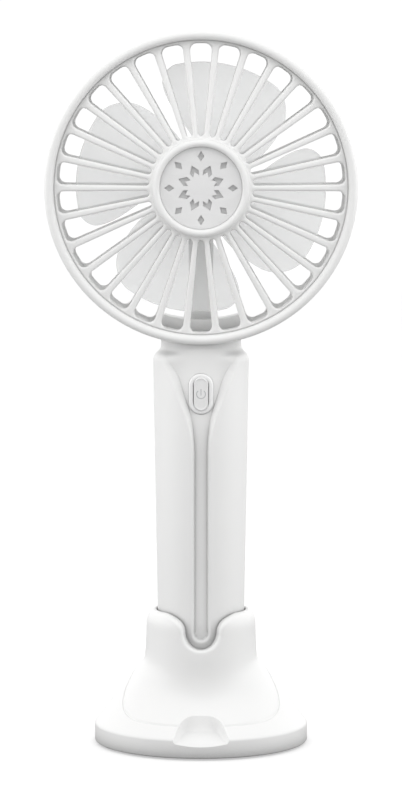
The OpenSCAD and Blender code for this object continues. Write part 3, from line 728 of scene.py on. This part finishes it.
def build_handle():
    half = piece("handle_front_half", *thick(*handle_shell(True)), "fan", SHELL, "body_plastic",
                 ["handle_front"])
    pocket = prism(oblong(BEZEL_HALF[0] + 0.03, BEZEL_HALF[1] + 0.03), (0, BUTTON_Z), -20, -12.2)
    well = prism(oblong(KEY_HALF[0] + 0.3, KEY_HALF[1] + 0.3), (0, BUTTON_Z), -20, -5)
    combine(half, "DIFFERENCE", [tool(*pocket), tool(*well)])

    rear = piece("handle_rear_half", *thick(*handle_shell(False)), "fan", SHELL, "body_plastic",
                 ["handle_rear"])
    bosses = [tool(*prism(circle(2.7), s, 7.9 if s[0] else 0.3, 11.9)) for s in REAR_SCREWS]
    combine(rear, "UNION", bosses)
    heads = [tool(*prism(circle(2.05), s, SCREW_SEAT_Y, 20)) for s in REAR_SCREWS]
    shanks = [tool(*prism(circle(1.1), s, -1, 20)) for s in REAR_SCREWS]
    window = [tool(*prism(oblong(1.7, 4.2), SOCKET_PLACE, 9, 20))]
    combine(rear, "DIFFERENCE", heads + shanks + window)


build_handle()

# ---------- grilles ----------

SPOKE_THICK = 1.35
CROWN = 0.7
UNDER_ROUND = 0.35
BEAD_R = 1.5


def slot_edge(r, inner_r, outer_r, inner_w, outer_w, inner_round, outer_round):
    """Distance from a spoke's middle line to the slot beside it: straight, and flared at both ends."""
    w = inner_w + (outer_w - inner_w) * np.clip((r - inner_r) / (outer_r - inner_r), 0, 1)
    for end, sign, c in ((inner_r, 1, inner_round), (outer_r, -1, outer_round)):
        d = np.clip(c - sign * (r - end), 0, c)
        w = w + c - np.sqrt(np.maximum(c * c - d * d, 0))
    return w


def slotted(inner_r, outer_r, inner_w, outer_w, top, under, before, after):
    """A ring of slots between spokes. top(r) and under(r) are the spokes' heights; before and after are the
    rest of the section, as (r, h) lines from the slots' inner ends round the hub, and round the outer ring."""
    pitch = math.pi / SPOKES
    outer_round = 2.3
    inner_round = min(1.0, inner_r * math.sin(pitch) - inner_w - 0.02)
    shape = (inner_r, outer_r, inner_w, outer_w, inner_round, outer_round)
    bend_in = inner_r + inner_round * (1 - np.cos(np.linspace(0, math.pi / 2, 7)))
    bend_out = outer_r - outer_round * (1 - np.cos(np.linspace(math.pi / 2, 0, 8)))
    slot_rows = np.concatenate([bend_in, np.linspace(bend_in[-1], bend_out[0], 16)[1:-1], bend_out])
    half = slot_edge(slot_rows, *shape)
    arc_out = np.linspace(half[-1] / outer_r, pitch, 8)[1:]
    arc_in = np.linspace(half[0] / inner_r, pitch, 3)[1:]
    outline = resample(np.concatenate([polar(inner_r, arc_in[::-1]), polar(slot_rows, half / slot_rows),
                                       polar(outer_r, arc_out)]), 0.08)
    across, beyond = 7, 4
    columns = across + beyond
    share = np.sin(np.linspace(0, math.pi / 2, across))   # closer together towards the slot

    def row_angles(r, full_from):
        """Angles of a row's points, from the spoke's middle over the slot's edge to half a pitch."""
        edge = full_from / r if r in slot_rows else min(full_from / r, 0.93 * pitch)
        return np.concatenate([edge * share, edge + (pitch - edge) * np.linspace(0, 1, beyond + 1)[1:]])

    def add_row(r, h, rounding, width):
        """A row of points. rounding is the radius at the slot's edge, and is below 0 on the underside."""
        flat = polar(r, row_angles(r, width))
        to_edge = np.linalg.norm(flat[:, None, :] - outline[None, :, :], axis=2).min(axis=1)
        size = abs(rounding)
        d = np.clip(size - to_edge, 0, size)
        drop = math.copysign(1, rounding) * (size - np.sqrt(size * size - d * d))
        rows.append(np.column_stack([flat, h - drop]))

    rows = []
    for r, h in before:
        crowned = r > inner_r - 2 and h > (top(inner_r) + under(inner_r)) / 2
        add_row(r, h, CROWN if crowned else 0, half[0])
    for r, w in zip(slot_rows, half):
        add_row(r, top(r), CROWN, w)
    for r, h in after:
        add_row(r, h, 0, half[-1])
    for r, w in zip(slot_rows[::-1], half[::-1]):
        add_row(r, under(r), -UNDER_ROUND, w)
    sector, count = np.array(rows), len(rows)
    top_rows = list(range(len(before), len(before) + len(half)))
    under_rows = list(range(count - 1, count - 1 - len(half), -1))
    faces = []
    for i in range(count):
        k = (i + 1) % count
        open_band = {i, k} <= set(top_rows) or {i, k} <= set(under_rows)
        for j in range(across - 1 if open_band else columns - 1):
            faces.append((i * columns + j, i * columns + j + 1, k * columns + j + 1, k * columns + j))
    edge = across - 1
    for n in range(len(top_rows) - 1):
        a, b = top_rows[n], top_rows[n + 1]
        c, d = under_rows[n], under_rows[n + 1]
        faces.append((a * columns + edge, b * columns + edge, d * columns + edge, c * columns + edge))
    for n in (0, len(top_rows) - 1):
        a, c = top_rows[n], under_rows[n]
        for j in range(edge, columns - 1):
            faces.append((a * columns + j, a * columns + j + 1, c * columns + j + 1, c * columns + j))

    flat = sector.reshape(-1, 3)
    parts = []
    for s in range(SPOKES):
        middle = math.pi / 2 + (2 * s + 1) * pitch
        for mirror in (1, -1):
            parts.append((to_head(turned(flat * [1, mirror, 1], middle)), faces))
    return joined(*parts)


def arc(centre_r, centre_h, radius, start, end, steps):
    """Part of a circle in the section, angles in degrees from +r."""
    a = np.radians(np.linspace(start, end, steps))
    return [(centre_r + radius * math.cos(t), centre_h + radius * math.sin(t)) for t in a]


def build_front_grille():
    bead_h, wall_r = FRONT_DEPTH - BEAD_R, HEAD_R - 2.4
    hub_h = FRONT_DEPTH + 1.3

    def top(r):
        return FRONT_DEPTH + 0.3 - (r - 14.9) * 2.9 / 31.6

    def under(r):
        return top(r) - SPOKE_THICK

    web_top, web_under = top(SLOT_INNER_R), under(SLOT_INNER_R)
    before = [(SLOT_INNER_R - 0.2, web_under), (BEZEL_R + 0.5, web_under), (BEZEL_R + 0.05, web_under - 0.1)]
    before += shifted(BEZEL_R, FRONT_DEPTH, (-0.1, -2.35), (-0.4, -2.5))
    before += shifted(MEDALLION_R, FRONT_DEPTH, (-1.5, -2.5), (-1.8, -2.3), (-1.8, -1.7), (-1.6, -1.5),
                      (0.05, -1.5), (0.05, 0), (0.05, hub_h - 0.1 - FRONT_DEPTH))
    before += arc(BEZEL_R - 1.17, hub_h, 1.18, 178, 0, 16)
    before += shifted(BEZEL_R, web_top, (0.01, 0.9), (0.06, 0.45), (0.22, 0.16), (0.5, 0.03))
    before += shifted(SLOT_INNER_R, web_top, (-0.4, 0.02), (-0.22, 0), (-0.1, 0))
    step_r = HEAD_R - 2 * BEAD_R
    ring_top = top(SLOT_R)
    after = shifted(SLOT_R, ring_top, (0.12, 0), (0.3, 0))
    after += shifted(step_r, ring_top, (-0.25, -0.05), (-0.12, -0.25), (0, -0.25))
    after += [(step_r, bead_h - 0.2)]
    after += arc(HEAD_R - BEAD_R, bead_h, BEAD_R, 180, 0, 22)
    after += [(HEAD_R - 0.02, bead_h - 1)]
    after += shifted(HEAD_R, 0, (-0.2, 6), (-0.36, 0.7), (-0.42, 0.2), (-0.62, 0.02))
    after += shifted(wall_r, 0, (0.3, 0.02), (0, 0.3), (0, 5), (0, FLANGE_H - 3.2), (-0.3, FLANGE_H - 2.5))
    after += shifted(SLOT_R, under(SLOT_R), (0.3, 0), (0.12, 0))
    made = slotted(SLOT_INNER_R, SLOT_R, 0.78, 1.12, top, under, before, after)
    piece("front_grille_guard", *made, "fan", WHITE, "body_plastic", ["front_grille"], sharp=48)


build_front_grille()


POD_R = 13.8
POD_WALL = 1.3
POD_FRONT_H = -1.2
POD_REAR_H = -16.4
STRUT_HALF_W = 4.0
SADDLE_ANGLE = 17.0


def rounded_bar(x_half, y0, y1, z0, z1, radius=0.35):
    """A box in row-frame axes with its long edges rounded, as a loop in (x, y) lofted along z."""
    corner = rounded([(0, y0, 0), (x_half, y0, radius), (x_half, y1, radius), (0, y1, 0)], 4)
    loop = np.concatenate([corner, np.stack([-corner[-2:0:-1, 0], corner[-2:0:-1, 1]], 1)])
    heights = np.linspace(z0, z1, 12)
    points = np.array([[x, y, z] for z in heights for x, y in loop])
    return points, loft_faces(len(heights), len(loop))


def build_rear_grille():
    def top(r):   # heights are mirrored, so that the outside of the guard is worked out as a front
        return REAR_DEPTH + 1.1 - (r - 13.3) * 1.3 / 33

    def under(r):
        return top(r) - SPOKE_THICK

    inner_r = POD_R + 0.9
    wall_r = HEAD_R - 2.5
    before = [(inner_r - 0.2, under(inner_r)), (POD_R + 0.1, under(inner_r)), (POD_R, under(inner_r) - 0.15)]
    before += [(POD_R, 8), (POD_R, -POD_FRONT_H + 0.3), (POD_R - 0.3, -POD_FRONT_H), (8, -POD_FRONT_H)]
    before += [(3.9, -POD_FRONT_H), (3.6, -POD_FRONT_H + 0.3), (3.6, 2.1), (3.9, 2.4), (8, 2.4)]
    before += [(POD_R - POD_WALL, 2.4), (POD_R - POD_WALL, 8)]
    before += shifted(POD_R - POD_WALL, -POD_REAR_H, (0, -0.2), (0.2, 0))
    before += shifted(POD_R, -POD_REAR_H, (-0.2, 0), (0, -0.15))
    before += [(POD_R + 0.1, top(inner_r)), (inner_r - 0.2, top(inner_r)), (inner_r - 0.1, top(inner_r))]
    after = shifted(SLOT_R, top(SLOT_R), (0.12, 0), (0.6, 0), (0.8, 0.1))
    after += shifted(HEAD_R, REAR_DEPTH, (-2.2, -0.05), (-1.8, -0.12), (-1.3, -0.45), (-0.95, -0.95),
                     (-0.8, -1.6))
    after += shifted(HEAD_R, 0, (-0.6, 7), (-0.41, 0.7), (-0.46, 0.2), (-0.66, 0.02))
    after += shifted(wall_r, 0, (0.02, 0.02), (0, -1.7), (-0.25, -2), (-0.55, -2), (-0.8, -1.7), (-0.8, 2),
                     (0, 3), (0, 8), (0, REAR_DEPTH - 2.4), (-0.35, REAR_DEPTH - 1.9))
    after += shifted(SLOT_R, under(SLOT_R), (0.5, 0), (0.12, 0))
    points, faces = slotted(inner_r, SLOT_R, 0.75, 1.1, top, under, before, after)
    points = points * [1, -1, 1]
    piece("rear_grille_guard", points, faces, "fan", WHITE, "body_plastic", ["rear_grille"], sharp=48)

    strut = rounded_bar(STRUT_HALF_W, REAR_DEPTH - 5, REAR_DEPTH + 0.55, HEAD_Z - SLOT_R - 1.5,
                        HEAD_Z - POD_R + 0.2)
    bar = piece("rear_strut", *strut, "fan", WHITE, "body_plastic")
    channel = rounded_bar(2.2, REAR_DEPTH - 2.2, REAR_DEPTH, HEAD_Z - SLOT_R - 3, HEAD_Z - POD_R + 2)
    combine(bar, "DIFFERENCE", [tool(*channel)])

    low, high, front, back = SLOT_R - 2.9, HEAD_R - 2.45, 4.0, REAR_DEPTH - 0.5
    section = rounded([(low, 8, 0), (low, front, 0.5), (high, front, 0.4), (high, back, 0.4), (low, back, 0.5),
                       (low, 8, 0)], 4)[:-1]
    angles = np.radians(np.linspace(-90 - SADDLE_ANGLE, -90 + SADDLE_ANGLE, 30))
    points = np.array([[r * math.cos(a), y, HEAD_Z + r * math.sin(a)] for a in angles for r, y in section])
    saddle = piece("rear_saddle", points, loft_faces(len(angles), len(section)), "fan", WHITE, "body_plastic")
    slot_for_leads = rounded_bar(2.2, 4.6, REAR_DEPTH - 0.1, HEAD_Z - SLOT_R - 0.2, HEAD_Z - SLOT_R + 2.2)
    duct = rounded_bar(1.6, 4.2, 7.4, HEAD_Z - HEAD_R - 2, HEAD_Z - SLOT_R + 1, 1.2)
    combine(saddle, "DIFFERENCE", [tool(*slot_for_leads), tool(*duct)])
    tongue = piece("rear_tongue", *rounded_bar(8, 0.4, 7.8, 121.5, HEAD_Z - HEAD_R + 1.2), "fan", WHITE,
                   "body_plastic")
    bores = [tool(*prism(circle(1.15), s, -2, 10)) for s in REAR_SCREWS[:2]]
    duct = rounded_bar(1.6, 4.2, 7.4, 120, HEAD_Z - HEAD_R + 4, 1.2)
    combine(tongue, "DIFFERENCE", bores + [tool(*duct)])


build_rear_grille()

# ---------- blade ----------

BLADES = 4
BLADE_ANGLE = 73
BLADE_R = span("fan_blade")[1][2] - HEAD_Z
BLADE_THICK = 1.2
HUB_R = 8.5


def blade_sheet():
    """One blade between its two curved edges, with rounded edges, as a closed skin in the head's frame."""
    root_r = HUB_R - 0.8
    along = np.sin(np.radians(np.linspace(0, 90, 44)))
    r = root_r + (BLADE_R - root_r) * along
    trailing = -48 + (r - 18.8) * 0.85
    leading = 38 - 0.045 * (r - 32) ** 2

    def corner(c):
        d = np.maximum(r - BLADE_R + c, 0)
        return np.degrees((c - np.sqrt(np.maximum(c * c - d * d, 0))) / r)

    trailing, leading = trailing + corner(8), leading - corner(5)
    v = (1 - np.cos(np.linspace(0, math.pi, 36))) / 2
    angle = np.radians(trailing[:, None] + (leading - trailing)[:, None] * v)
    h = np.broadcast_to(9.4 - 7 * v + 0.9 * np.sin(math.pi * v), angle.shape)
    radius = np.repeat(r[:, None], len(v), 1)
    x, y = radius * np.cos(angle), radius * np.sin(angle)
    # the skin thins to a round edge, by distance from the two side edges and the tip
    side = np.minimum(v, 1 - v) * (leading - trailing)[:, None] * radius * math.pi / 180
    edge = np.minimum(side, BLADE_R - radius)
    edge = np.clip(edge / 0.55, 0, 1)
    half = BLADE_THICK / 2 * np.sqrt(1 - (1 - edge) ** 2)
    half = np.maximum(half, 0.02)
    return thick(np.stack([x, y, h + half], -1), np.stack([x, y, h - half], -1))


def build_blade():
    blades = []
    points, faces = blade_sheet()
    for i in range(BLADES):
        blades.append((to_head(turned(points, math.radians(BLADE_ANGLE + i * 360 / BLADES))), faces))
    hub_line = rounded([(0.01, 12, 0), (HUB_R - 1.2, 12, 0.6), (HUB_R, 10.8, 0.6), (HUB_R, 0.5, 0.25),
                        (HUB_R - 1.4, 0.5, 0.25), (HUB_R - 1.4, 10.4, 0.5), (2.8, 10.4, 0.4), (2.8, 1, 0.25),
                        (1.02, 1, 0.1), (1.02, 9, 0), (0.01, 9, 0)], 4)
    points, faces = revolve(hub_line)
    piece("blade_hub", to_head(points), faces, "rotor", BLADE, "blade_plastic")
    piece("blade_set", *joined(*blades), "rotor", BLADE, "blade_plastic", ["fan_blade"], sharp=60)


BLADE = look("blade_white", (0.93, 0.935, 0.935), 0.33, mottle=0.006, mottle_mm=20, gloss_spread=0.03,
             grain_mm=0.6, grain=0.05, Alpha=0.38)
build_blade()

# ---------- medallion ----------

MOTIFS = 8
MEDALLION_H = FRONT_DEPTH + 0.7
MEDALLION = look("medallion_satin", (0.84, 0.84, 0.84), 0.38, mottle=0.01, mottle_mm=8, gloss_spread=0.04,
                 grain_mm=0.15, grain=0.2)
# The backing's grey is partly its own tone and partly painted shade in the medallion's cut-outs
BACKING_GREY_AND_SHADE = look("backing_grey_and_shade", (0.73, 0.73, 0.73), 0.5, mottle=0.02, grain_mm=0.3)


def build_medallion():
    """A disc with diamonds cut through it and arrows between them, as a filled curve with softened edges."""
    data = bpy.data.curves.new("medallion", "CURVE")
    data.dimensions, data.fill_mode = "2D", "BOTH"
    bevel, half_thick = 0.14, 0.6
    data.extrude, data.bevel_depth, data.bevel_resolution = (half_thick - bevel) * MM, bevel * MM, 2
    data.offset = -bevel * MM
    pitch = 2 * math.pi / MOTIFS
    diamond = [(8.5, 0), (10.1, -1.1), (11.7, 0), (10.1, 1.1)]
    arrow = [(5.4, 0), (4.05, -1), (5.5, -1.5), (7.7, 0), (5.5, 1.5), (4.05, 1)]
    loops = [circle(MEDALLION_R, 160)]
    for i in range(MOTIFS):
        loops += [turned(diamond, i * pitch), turned(arrow, (i + 0.5) * pitch)]
    for loop in loops:
        line = data.splines.new("POLY")
        line.points.add(len(loop) - 1)
        for point, (x, y) in zip(line.points, loop):
            point.co = (x * MM, y * MM, 0, 1)
        line.use_cyclic_u = True
    curve = bpy.data.objects.new("curve", data)
    scene.collection.objects.link(curve)
    mesh = bpy.data.meshes.new_from_object(curve.evaluated_get(bpy.context.evaluated_depsgraph_get()))
    points = np.array([v.co for v in mesh.vertices]) / MM + [0, 0, MEDALLION_H - half_thick]
    faces = [tuple(f.vertices) for f in mesh.polygons]
    bpy.data.objects.remove(curve)
    bpy.data.meshes.remove(mesh)
    piece("medallion_plate", to_head(points), faces, "fan", MEDALLION, "medallion_plastic", ["medallion"],
          sharp=25)

    # the grey disc seen through the cut-outs, its grey partly painted shade
    back_h = FRONT_DEPTH - 1.45
    disc_r, disc_top = MEDALLION_R - 0.05, back_h + 0.9
    line = rounded([(0.01, back_h, 0), (disc_r, back_h, 0.2), (disc_r, disc_top, 0.2), (0.01, disc_top, 0)], 4)
    points, faces = revolve(line)
    piece("medallion_back_disc", to_head(points), faces, "fan", BACKING_GREY_AND_SHADE, "backing_plastic",
          ["medallion_backing"])


build_medallion()

# ---------- button ----------

KEY_GAP = 0.15


def oblong_ring(profile, half_w, half_h, steps=24):
    """A profile of (inset, y) carried round an oblong, inset being the distance inside its outline."""
    loops = []
    for inset, y in profile:
        loop = oblong(half_w - inset, half_h - inset, steps)
        loops.append(np.stack([loop[:, 0], np.full(len(loop), y), BUTTON_Z + loop[:, 1]], 1))
    return np.array(loops)


def build_button():
    face_y, seat_y = span("button_bezel")[0][1], -12.23
    inner = BEZEL_HALF[0] - KEY_HALF[0] - KEY_GAP
    ring = rounded([(0.02, seat_y, 0), (0.02, face_y + 0.7, 0.2), (0.35, face_y, 0.5),
                    (inner - 0.4, face_y, 0.35), (inner - 0.15, face_y + 0.2, 0.2),
                    (inner - 0.02, face_y + 0.4, 0.1), (inner, seat_y, 0.05), (0.02, seat_y, 0)], 5)[:-1]
    loops = oblong_ring(ring, *BEZEL_HALF)
    count, size = loops.shape[:2]
    piece("button_surround", loops.reshape(-1, 3), grid_faces(count, size, close_rows=True, close_columns=True),
          "fan", TRIM, "trim_plastic", ["button_bezel"], sharp=50)

    cap_y, back_y = span("button_cap")[0][1], span("button_cap")[1][1]
    dome = shifted(0, cap_y, (0.02, 0.5), (0.04, 0.3), (0.1, 0.15), (0.2, 0.05), (0.32, 0), (0.42, 0.01),
                   (0.52, 0.06), (0.62, 0.12), (0.75, 0.15), (1.1, 0.16), (1.7, 0.16),
                   (KEY_HALF[0] - 0.15, 0.16))
    line = [(KEY_HALF[0] - 0.15, back_y), (0, back_y), (-0.5, back_y), (-0.5, back_y - 0.58),
            (0.02, back_y - 0.6)] + dome
    loops = oblong_ring(line, *KEY_HALF)
    count, size = loops.shape[:2]
    piece("button_key", loops.reshape(-1, 3), loft_faces(count, size), "button", KEY, "trim_plastic",
          ["button_cap"], sharp=50)

    # generic power mark: an open circle with a short bar in its gap
    ring_r, half_line, gap = 1.4, 0.15, 40   # gap is half the ring's opening, in degrees
    a = np.radians(np.linspace(90 + gap, 450 - gap, 48))
    low_y, high_y = cap_y + 0.145, cap_y + 0.2
    circle_sides = [polar(ring_r + w, a) for w in (-half_line, half_line)]
    bar_sides = [[(x, z) for z in np.linspace(-0.4, 1.65, 6)] for x in (-half_line, half_line)]
    bands = []
    for sides in (circle_sides, bar_sides):
        front = np.array([[(x, low_y, BUTTON_Z + z) for x, z in side] for side in sides])
        bands.append(thick(front, front + [0, high_y - low_y, 0]))
    piece("power_mark", *joined(*bands), "button", MARK, "backing_plastic")


MARK = look("mark_grey", (0.56, 0.57, 0.58), 0.45, mottle=0.02)
KEY = look("key_white", (0.86, 0.86, 0.86), 0.35, mottle=0.01, gloss_spread=0.03, grain_mm=0.3, grain=0.12)
build_button()

# ---------- underside, back and screws ----------

def build_turned(name, corners, steps, body, material, slot, replaces, to_place=None, sharp=40):
    """A turned piece from rounded corners of (r, height), from axis to axis, or round a ring."""
    line = rounded(corners, 5)
    points, faces = revolve(line, steps, ring=line[0][0] > 0.02)
    if to_place:
        points = to_place(points)
    return piece(name, points, faces, body, material, slot, replaces, sharp)


def pan_head(radius, height, shank_r, shank_end):
    """Profile of a pan-head screw from the top of its head, at height, down its tapered point."""
    return [(0.01, height, 0), (radius - 0.75, height, 0.5), (radius, height - 0.55, 0.5), (radius, 0.02, 0.1),
            (shank_r, 0, 0.1), (shank_r, shank_end + 1.1, 0.3), (0.35, shank_end, 0.1), (0.01, shank_end, 0)]


def cross_cutter(reach, half_w, top, bottom):
    """Two crossed tapered blades, for the recess in a screw's head, along Z."""
    parts = []
    for turn in (0, 1):
        loop = []
        for z, r, w in ((bottom, reach * 0.45, half_w * 0.7), (top, reach, half_w)):
            corners = [(-r, -w), (r, -w), (r, w), (-r, w)]
            loop += [(y, -x, z) if turn else (x, y, z) for x, y in corners]
        parts.append((np.array(loop), [(0, 1, 2, 3), (7, 6, 5, 4)] + grid_faces(2, 4, close_columns=True)))
    return parts


def build_screws(name, places, axis, head_h, shank_end, body, replaces):
    """Pan-head screws with a cross recess. places are where the undersides of their heads sit."""
    made = []
    for place in places:
        screw = tool(*revolve(rounded(pan_head(1.85, head_h, 0.95, shank_end), 4), 40))
        cross = cross_cutter(1.1, 0.22, head_h + 0.2, head_h - 0.75)
        combine(screw, "DIFFERENCE", [tool(*part) for part in cross])
        local = np.array([v.co for v in screw.data.vertices]) / MM
        shapes = [tuple(f.vertices) for f in screw.data.polygons]
        bpy.data.objects.remove(screw)
        if axis == "down":
            local = local * [1, -1, -1]
        else:   # heads towards +Y
            local = np.stack([local[:, 0], local[:, 2], -local[:, 1]], 1)
        made.append((local + np.array(place), shapes))
    piece(name, *joined(*made), body, STEEL, "screw_steel", replaces, sharp=35)


def build_rest():
    low, high = span("base_plate")
    plate_r, plate_top, plate_low = high[0], high[2], low[2]
    ring_out, ring_in = span("foot_ring")[1][0], 26.0
    plate = build_turned("base_underplate", [
        (0.01, plate_low, 0), (ring_in - 0.4, plate_low, 0.3), (ring_in - 0.2, plate_low + 0.3, 0.2),
        (ring_in - 0.2, 1.5, 0.1), (ring_out + 0.2, 1.5, 0.1), (ring_out + 0.2, plate_low + 0.2, 0.15),
        (ring_out + 0.35, plate_low, 0.15), (plate_r, plate_low, 0.3), (plate_r, plate_top, 0.2),
        (0.01, plate_top, 0)], 160, "base", WHITE, "body_plastic", ["base_plate"])
    turns = [math.radians(a) for a in (90, 210, 330)]
    places = [(21 * math.cos(a), 21 * math.sin(a), 2.0) for a in turns]
    holes = []
    for x, y, _ in places:
        for radius, top in ((2.1, 2.05), (1.12, 4)):
            points, faces = revolve([(radius, 0.2), (radius, top)], 40)
            holes.append(tool(points + [x, y, 0], faces))
    combine(plate, "DIFFERENCE", holes)
    build_screws("base_plate_screws", places, "down", 0.9, -6.9, "base", ["base_screws"])
    foot_top = span("foot_ring")[1][2]
    ridge_r = np.linspace(ring_in + 0.25, ring_out - 0.25, 13)
    ridges = [(r, 0.28 * (k % 2), 0.12) for k, r in enumerate(ridge_r)]
    build_turned("foot_pad", [(ring_in, 0.7, 0), (ring_in, 0.2, 0.1)] + ridges + [
        (ring_out, 0.2, 0.1), (ring_out, foot_top, 0.2), (ring_in, foot_top, 0.2)], 180, "base", RUBBER,
        "foot_rubber", ["foot_ring"])

    cap_z = span("bottom_cap")[0][2]
    build_turned("handle_end_cap", [
        (0.01, cap_z + 0.35, 0), (8.2, cap_z + 0.35, 0.5), (8.8, cap_z, 0.5), (10.5, cap_z, 0.4),
        (10.85, cap_z + 0.35, 0.2), (10.85, 9.45, 0.1), (11.85, 9.45, 0.1), (11.85, 10.35, 0.1),
        (0.01, 10.35, 0)], 120, "fan", WHITE, "body_plastic", ["bottom_cap"])
    seats = [(x, SCREW_SEAT_Y, z) for x, z in REAR_SCREWS]
    build_screws("handle_rear_screws", seats, "back", 1.25, -16.4, "fan", ["handle_screws"])

    def at_back(points):   # profile heights are the depth behind the blade's plane
        return np.stack([points[:, 0], points[:, 2], HEAD_Z + points[:, 1]], -1)

    build_turned("motor_pod_cover", [
        (0.01, 17.75, 0), (3.6, 17.75, 0.3), (4.2, 18.0, 0.5), (9.6, 18.0, 2.0), (12.9, 17.35, 1.0),
        (13.75, 16.42, 0.3), (12.4, 16.42, 0.1), (12.4, 15.2, 0.2), (11.4, 15.2, 0.2), (11.4, 16.8, 0.3),
        (0.01, 16.8, 0)], 120, "fan", WHITE, "body_plastic", ["motor_cover"], to_place=at_back)


def finish_carried_over():
    """Gives every CAD node that is kept, inside or showing, its own finish."""
    finishes = {
        STEEL: ["motor_screws", "motor_shaft"],
        SHEET: ["tact_switch", "usb_socket", "battery_tabs", "motor_can", "motor_terminals", "motor_armature"],
        BLACK: ["switch_plunger", "board_components", "motor_end_cap"],
        BOARD: ["circuit_board"], SLEEVE: ["battery_cell"], FOAM: ["battery_pad"],
        LEAD: ["battery_leads", "motor_leads"], FERRITE: ["motor_magnets"],
        BRONZE: ["front_bush", "rear_bush", "motor_brushes"], COPPER: ["motor_windings", "commutator"]}
    for finish, nodes in finishes.items():
        for node in nodes:
            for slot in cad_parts[node].material_slots:
                slot.material = finish


STEEL = look("screw_steel", (0.62, 0.62, 0.63), 0.28, metallic=1.0, mottle=0.05, gloss_spread=0.08,
             grain_mm=0.12, grain=0.25, stretch=(1, 1, 4))
SHEET = look("plated_sheet", (0.66, 0.66, 0.65), 0.36, metallic=1.0, mottle=0.06, mottle_mm=4, gloss_spread=0.1,
             grain_mm=0.15, grain=0.3, stretch=(4, 1, 1))
RUBBER = look("foot_rubber", (0.72, 0.72, 0.71), 0.78, mottle=0.03, mottle_mm=5, grain_mm=0.3, grain=0.5)
BLACK = look("moulded_black", (0.03, 0.03, 0.032), 0.45, mottle=0.15, mottle_mm=3, grain_mm=0.12, grain=0.4)
BOARD = look("solder_mask", (0.02, 0.17, 0.07), 0.3, mottle=0.12, mottle_mm=2, gloss_mm=1.5, grain_mm=0.4,
             grain=0.5)
SLEEVE = look("cell_sleeve", (0.05, 0.19, 0.42), 0.26, mottle=0.06, mottle_mm=6, grain_mm=1.2, grain=0.2)
FOAM = look("closed_foam", (0.05, 0.05, 0.05), 0.95, mottle=0.3, mottle_mm=0.8, grain_mm=0.5, grain=0.9)
LEAD = look("lead_sleeve", (0.5, 0.03, 0.02), 0.38, mottle=0.06, mottle_mm=3, grain_mm=0.2, grain=0.2)
FERRITE = look("ferrite", (0.05, 0.05, 0.055), 0.6, mottle=0.2, mottle_mm=1.5, grain_mm=0.1, grain=0.5)
BRONZE = look("oiled_bronze", (0.55, 0.33, 0.12), 0.4, metallic=1.0, mottle=0.12, mottle_mm=1, grain_mm=0.08,
              grain=0.4)
COPPER = look("winding_copper", (0.72, 0.27, 0.11), 0.3, metallic=1.0, mottle=0.12, mottle_mm=1, grain_mm=0.25,
              grain=0.9, stretch=(1, 6, 1))
build_rest()
finish_carried_over()
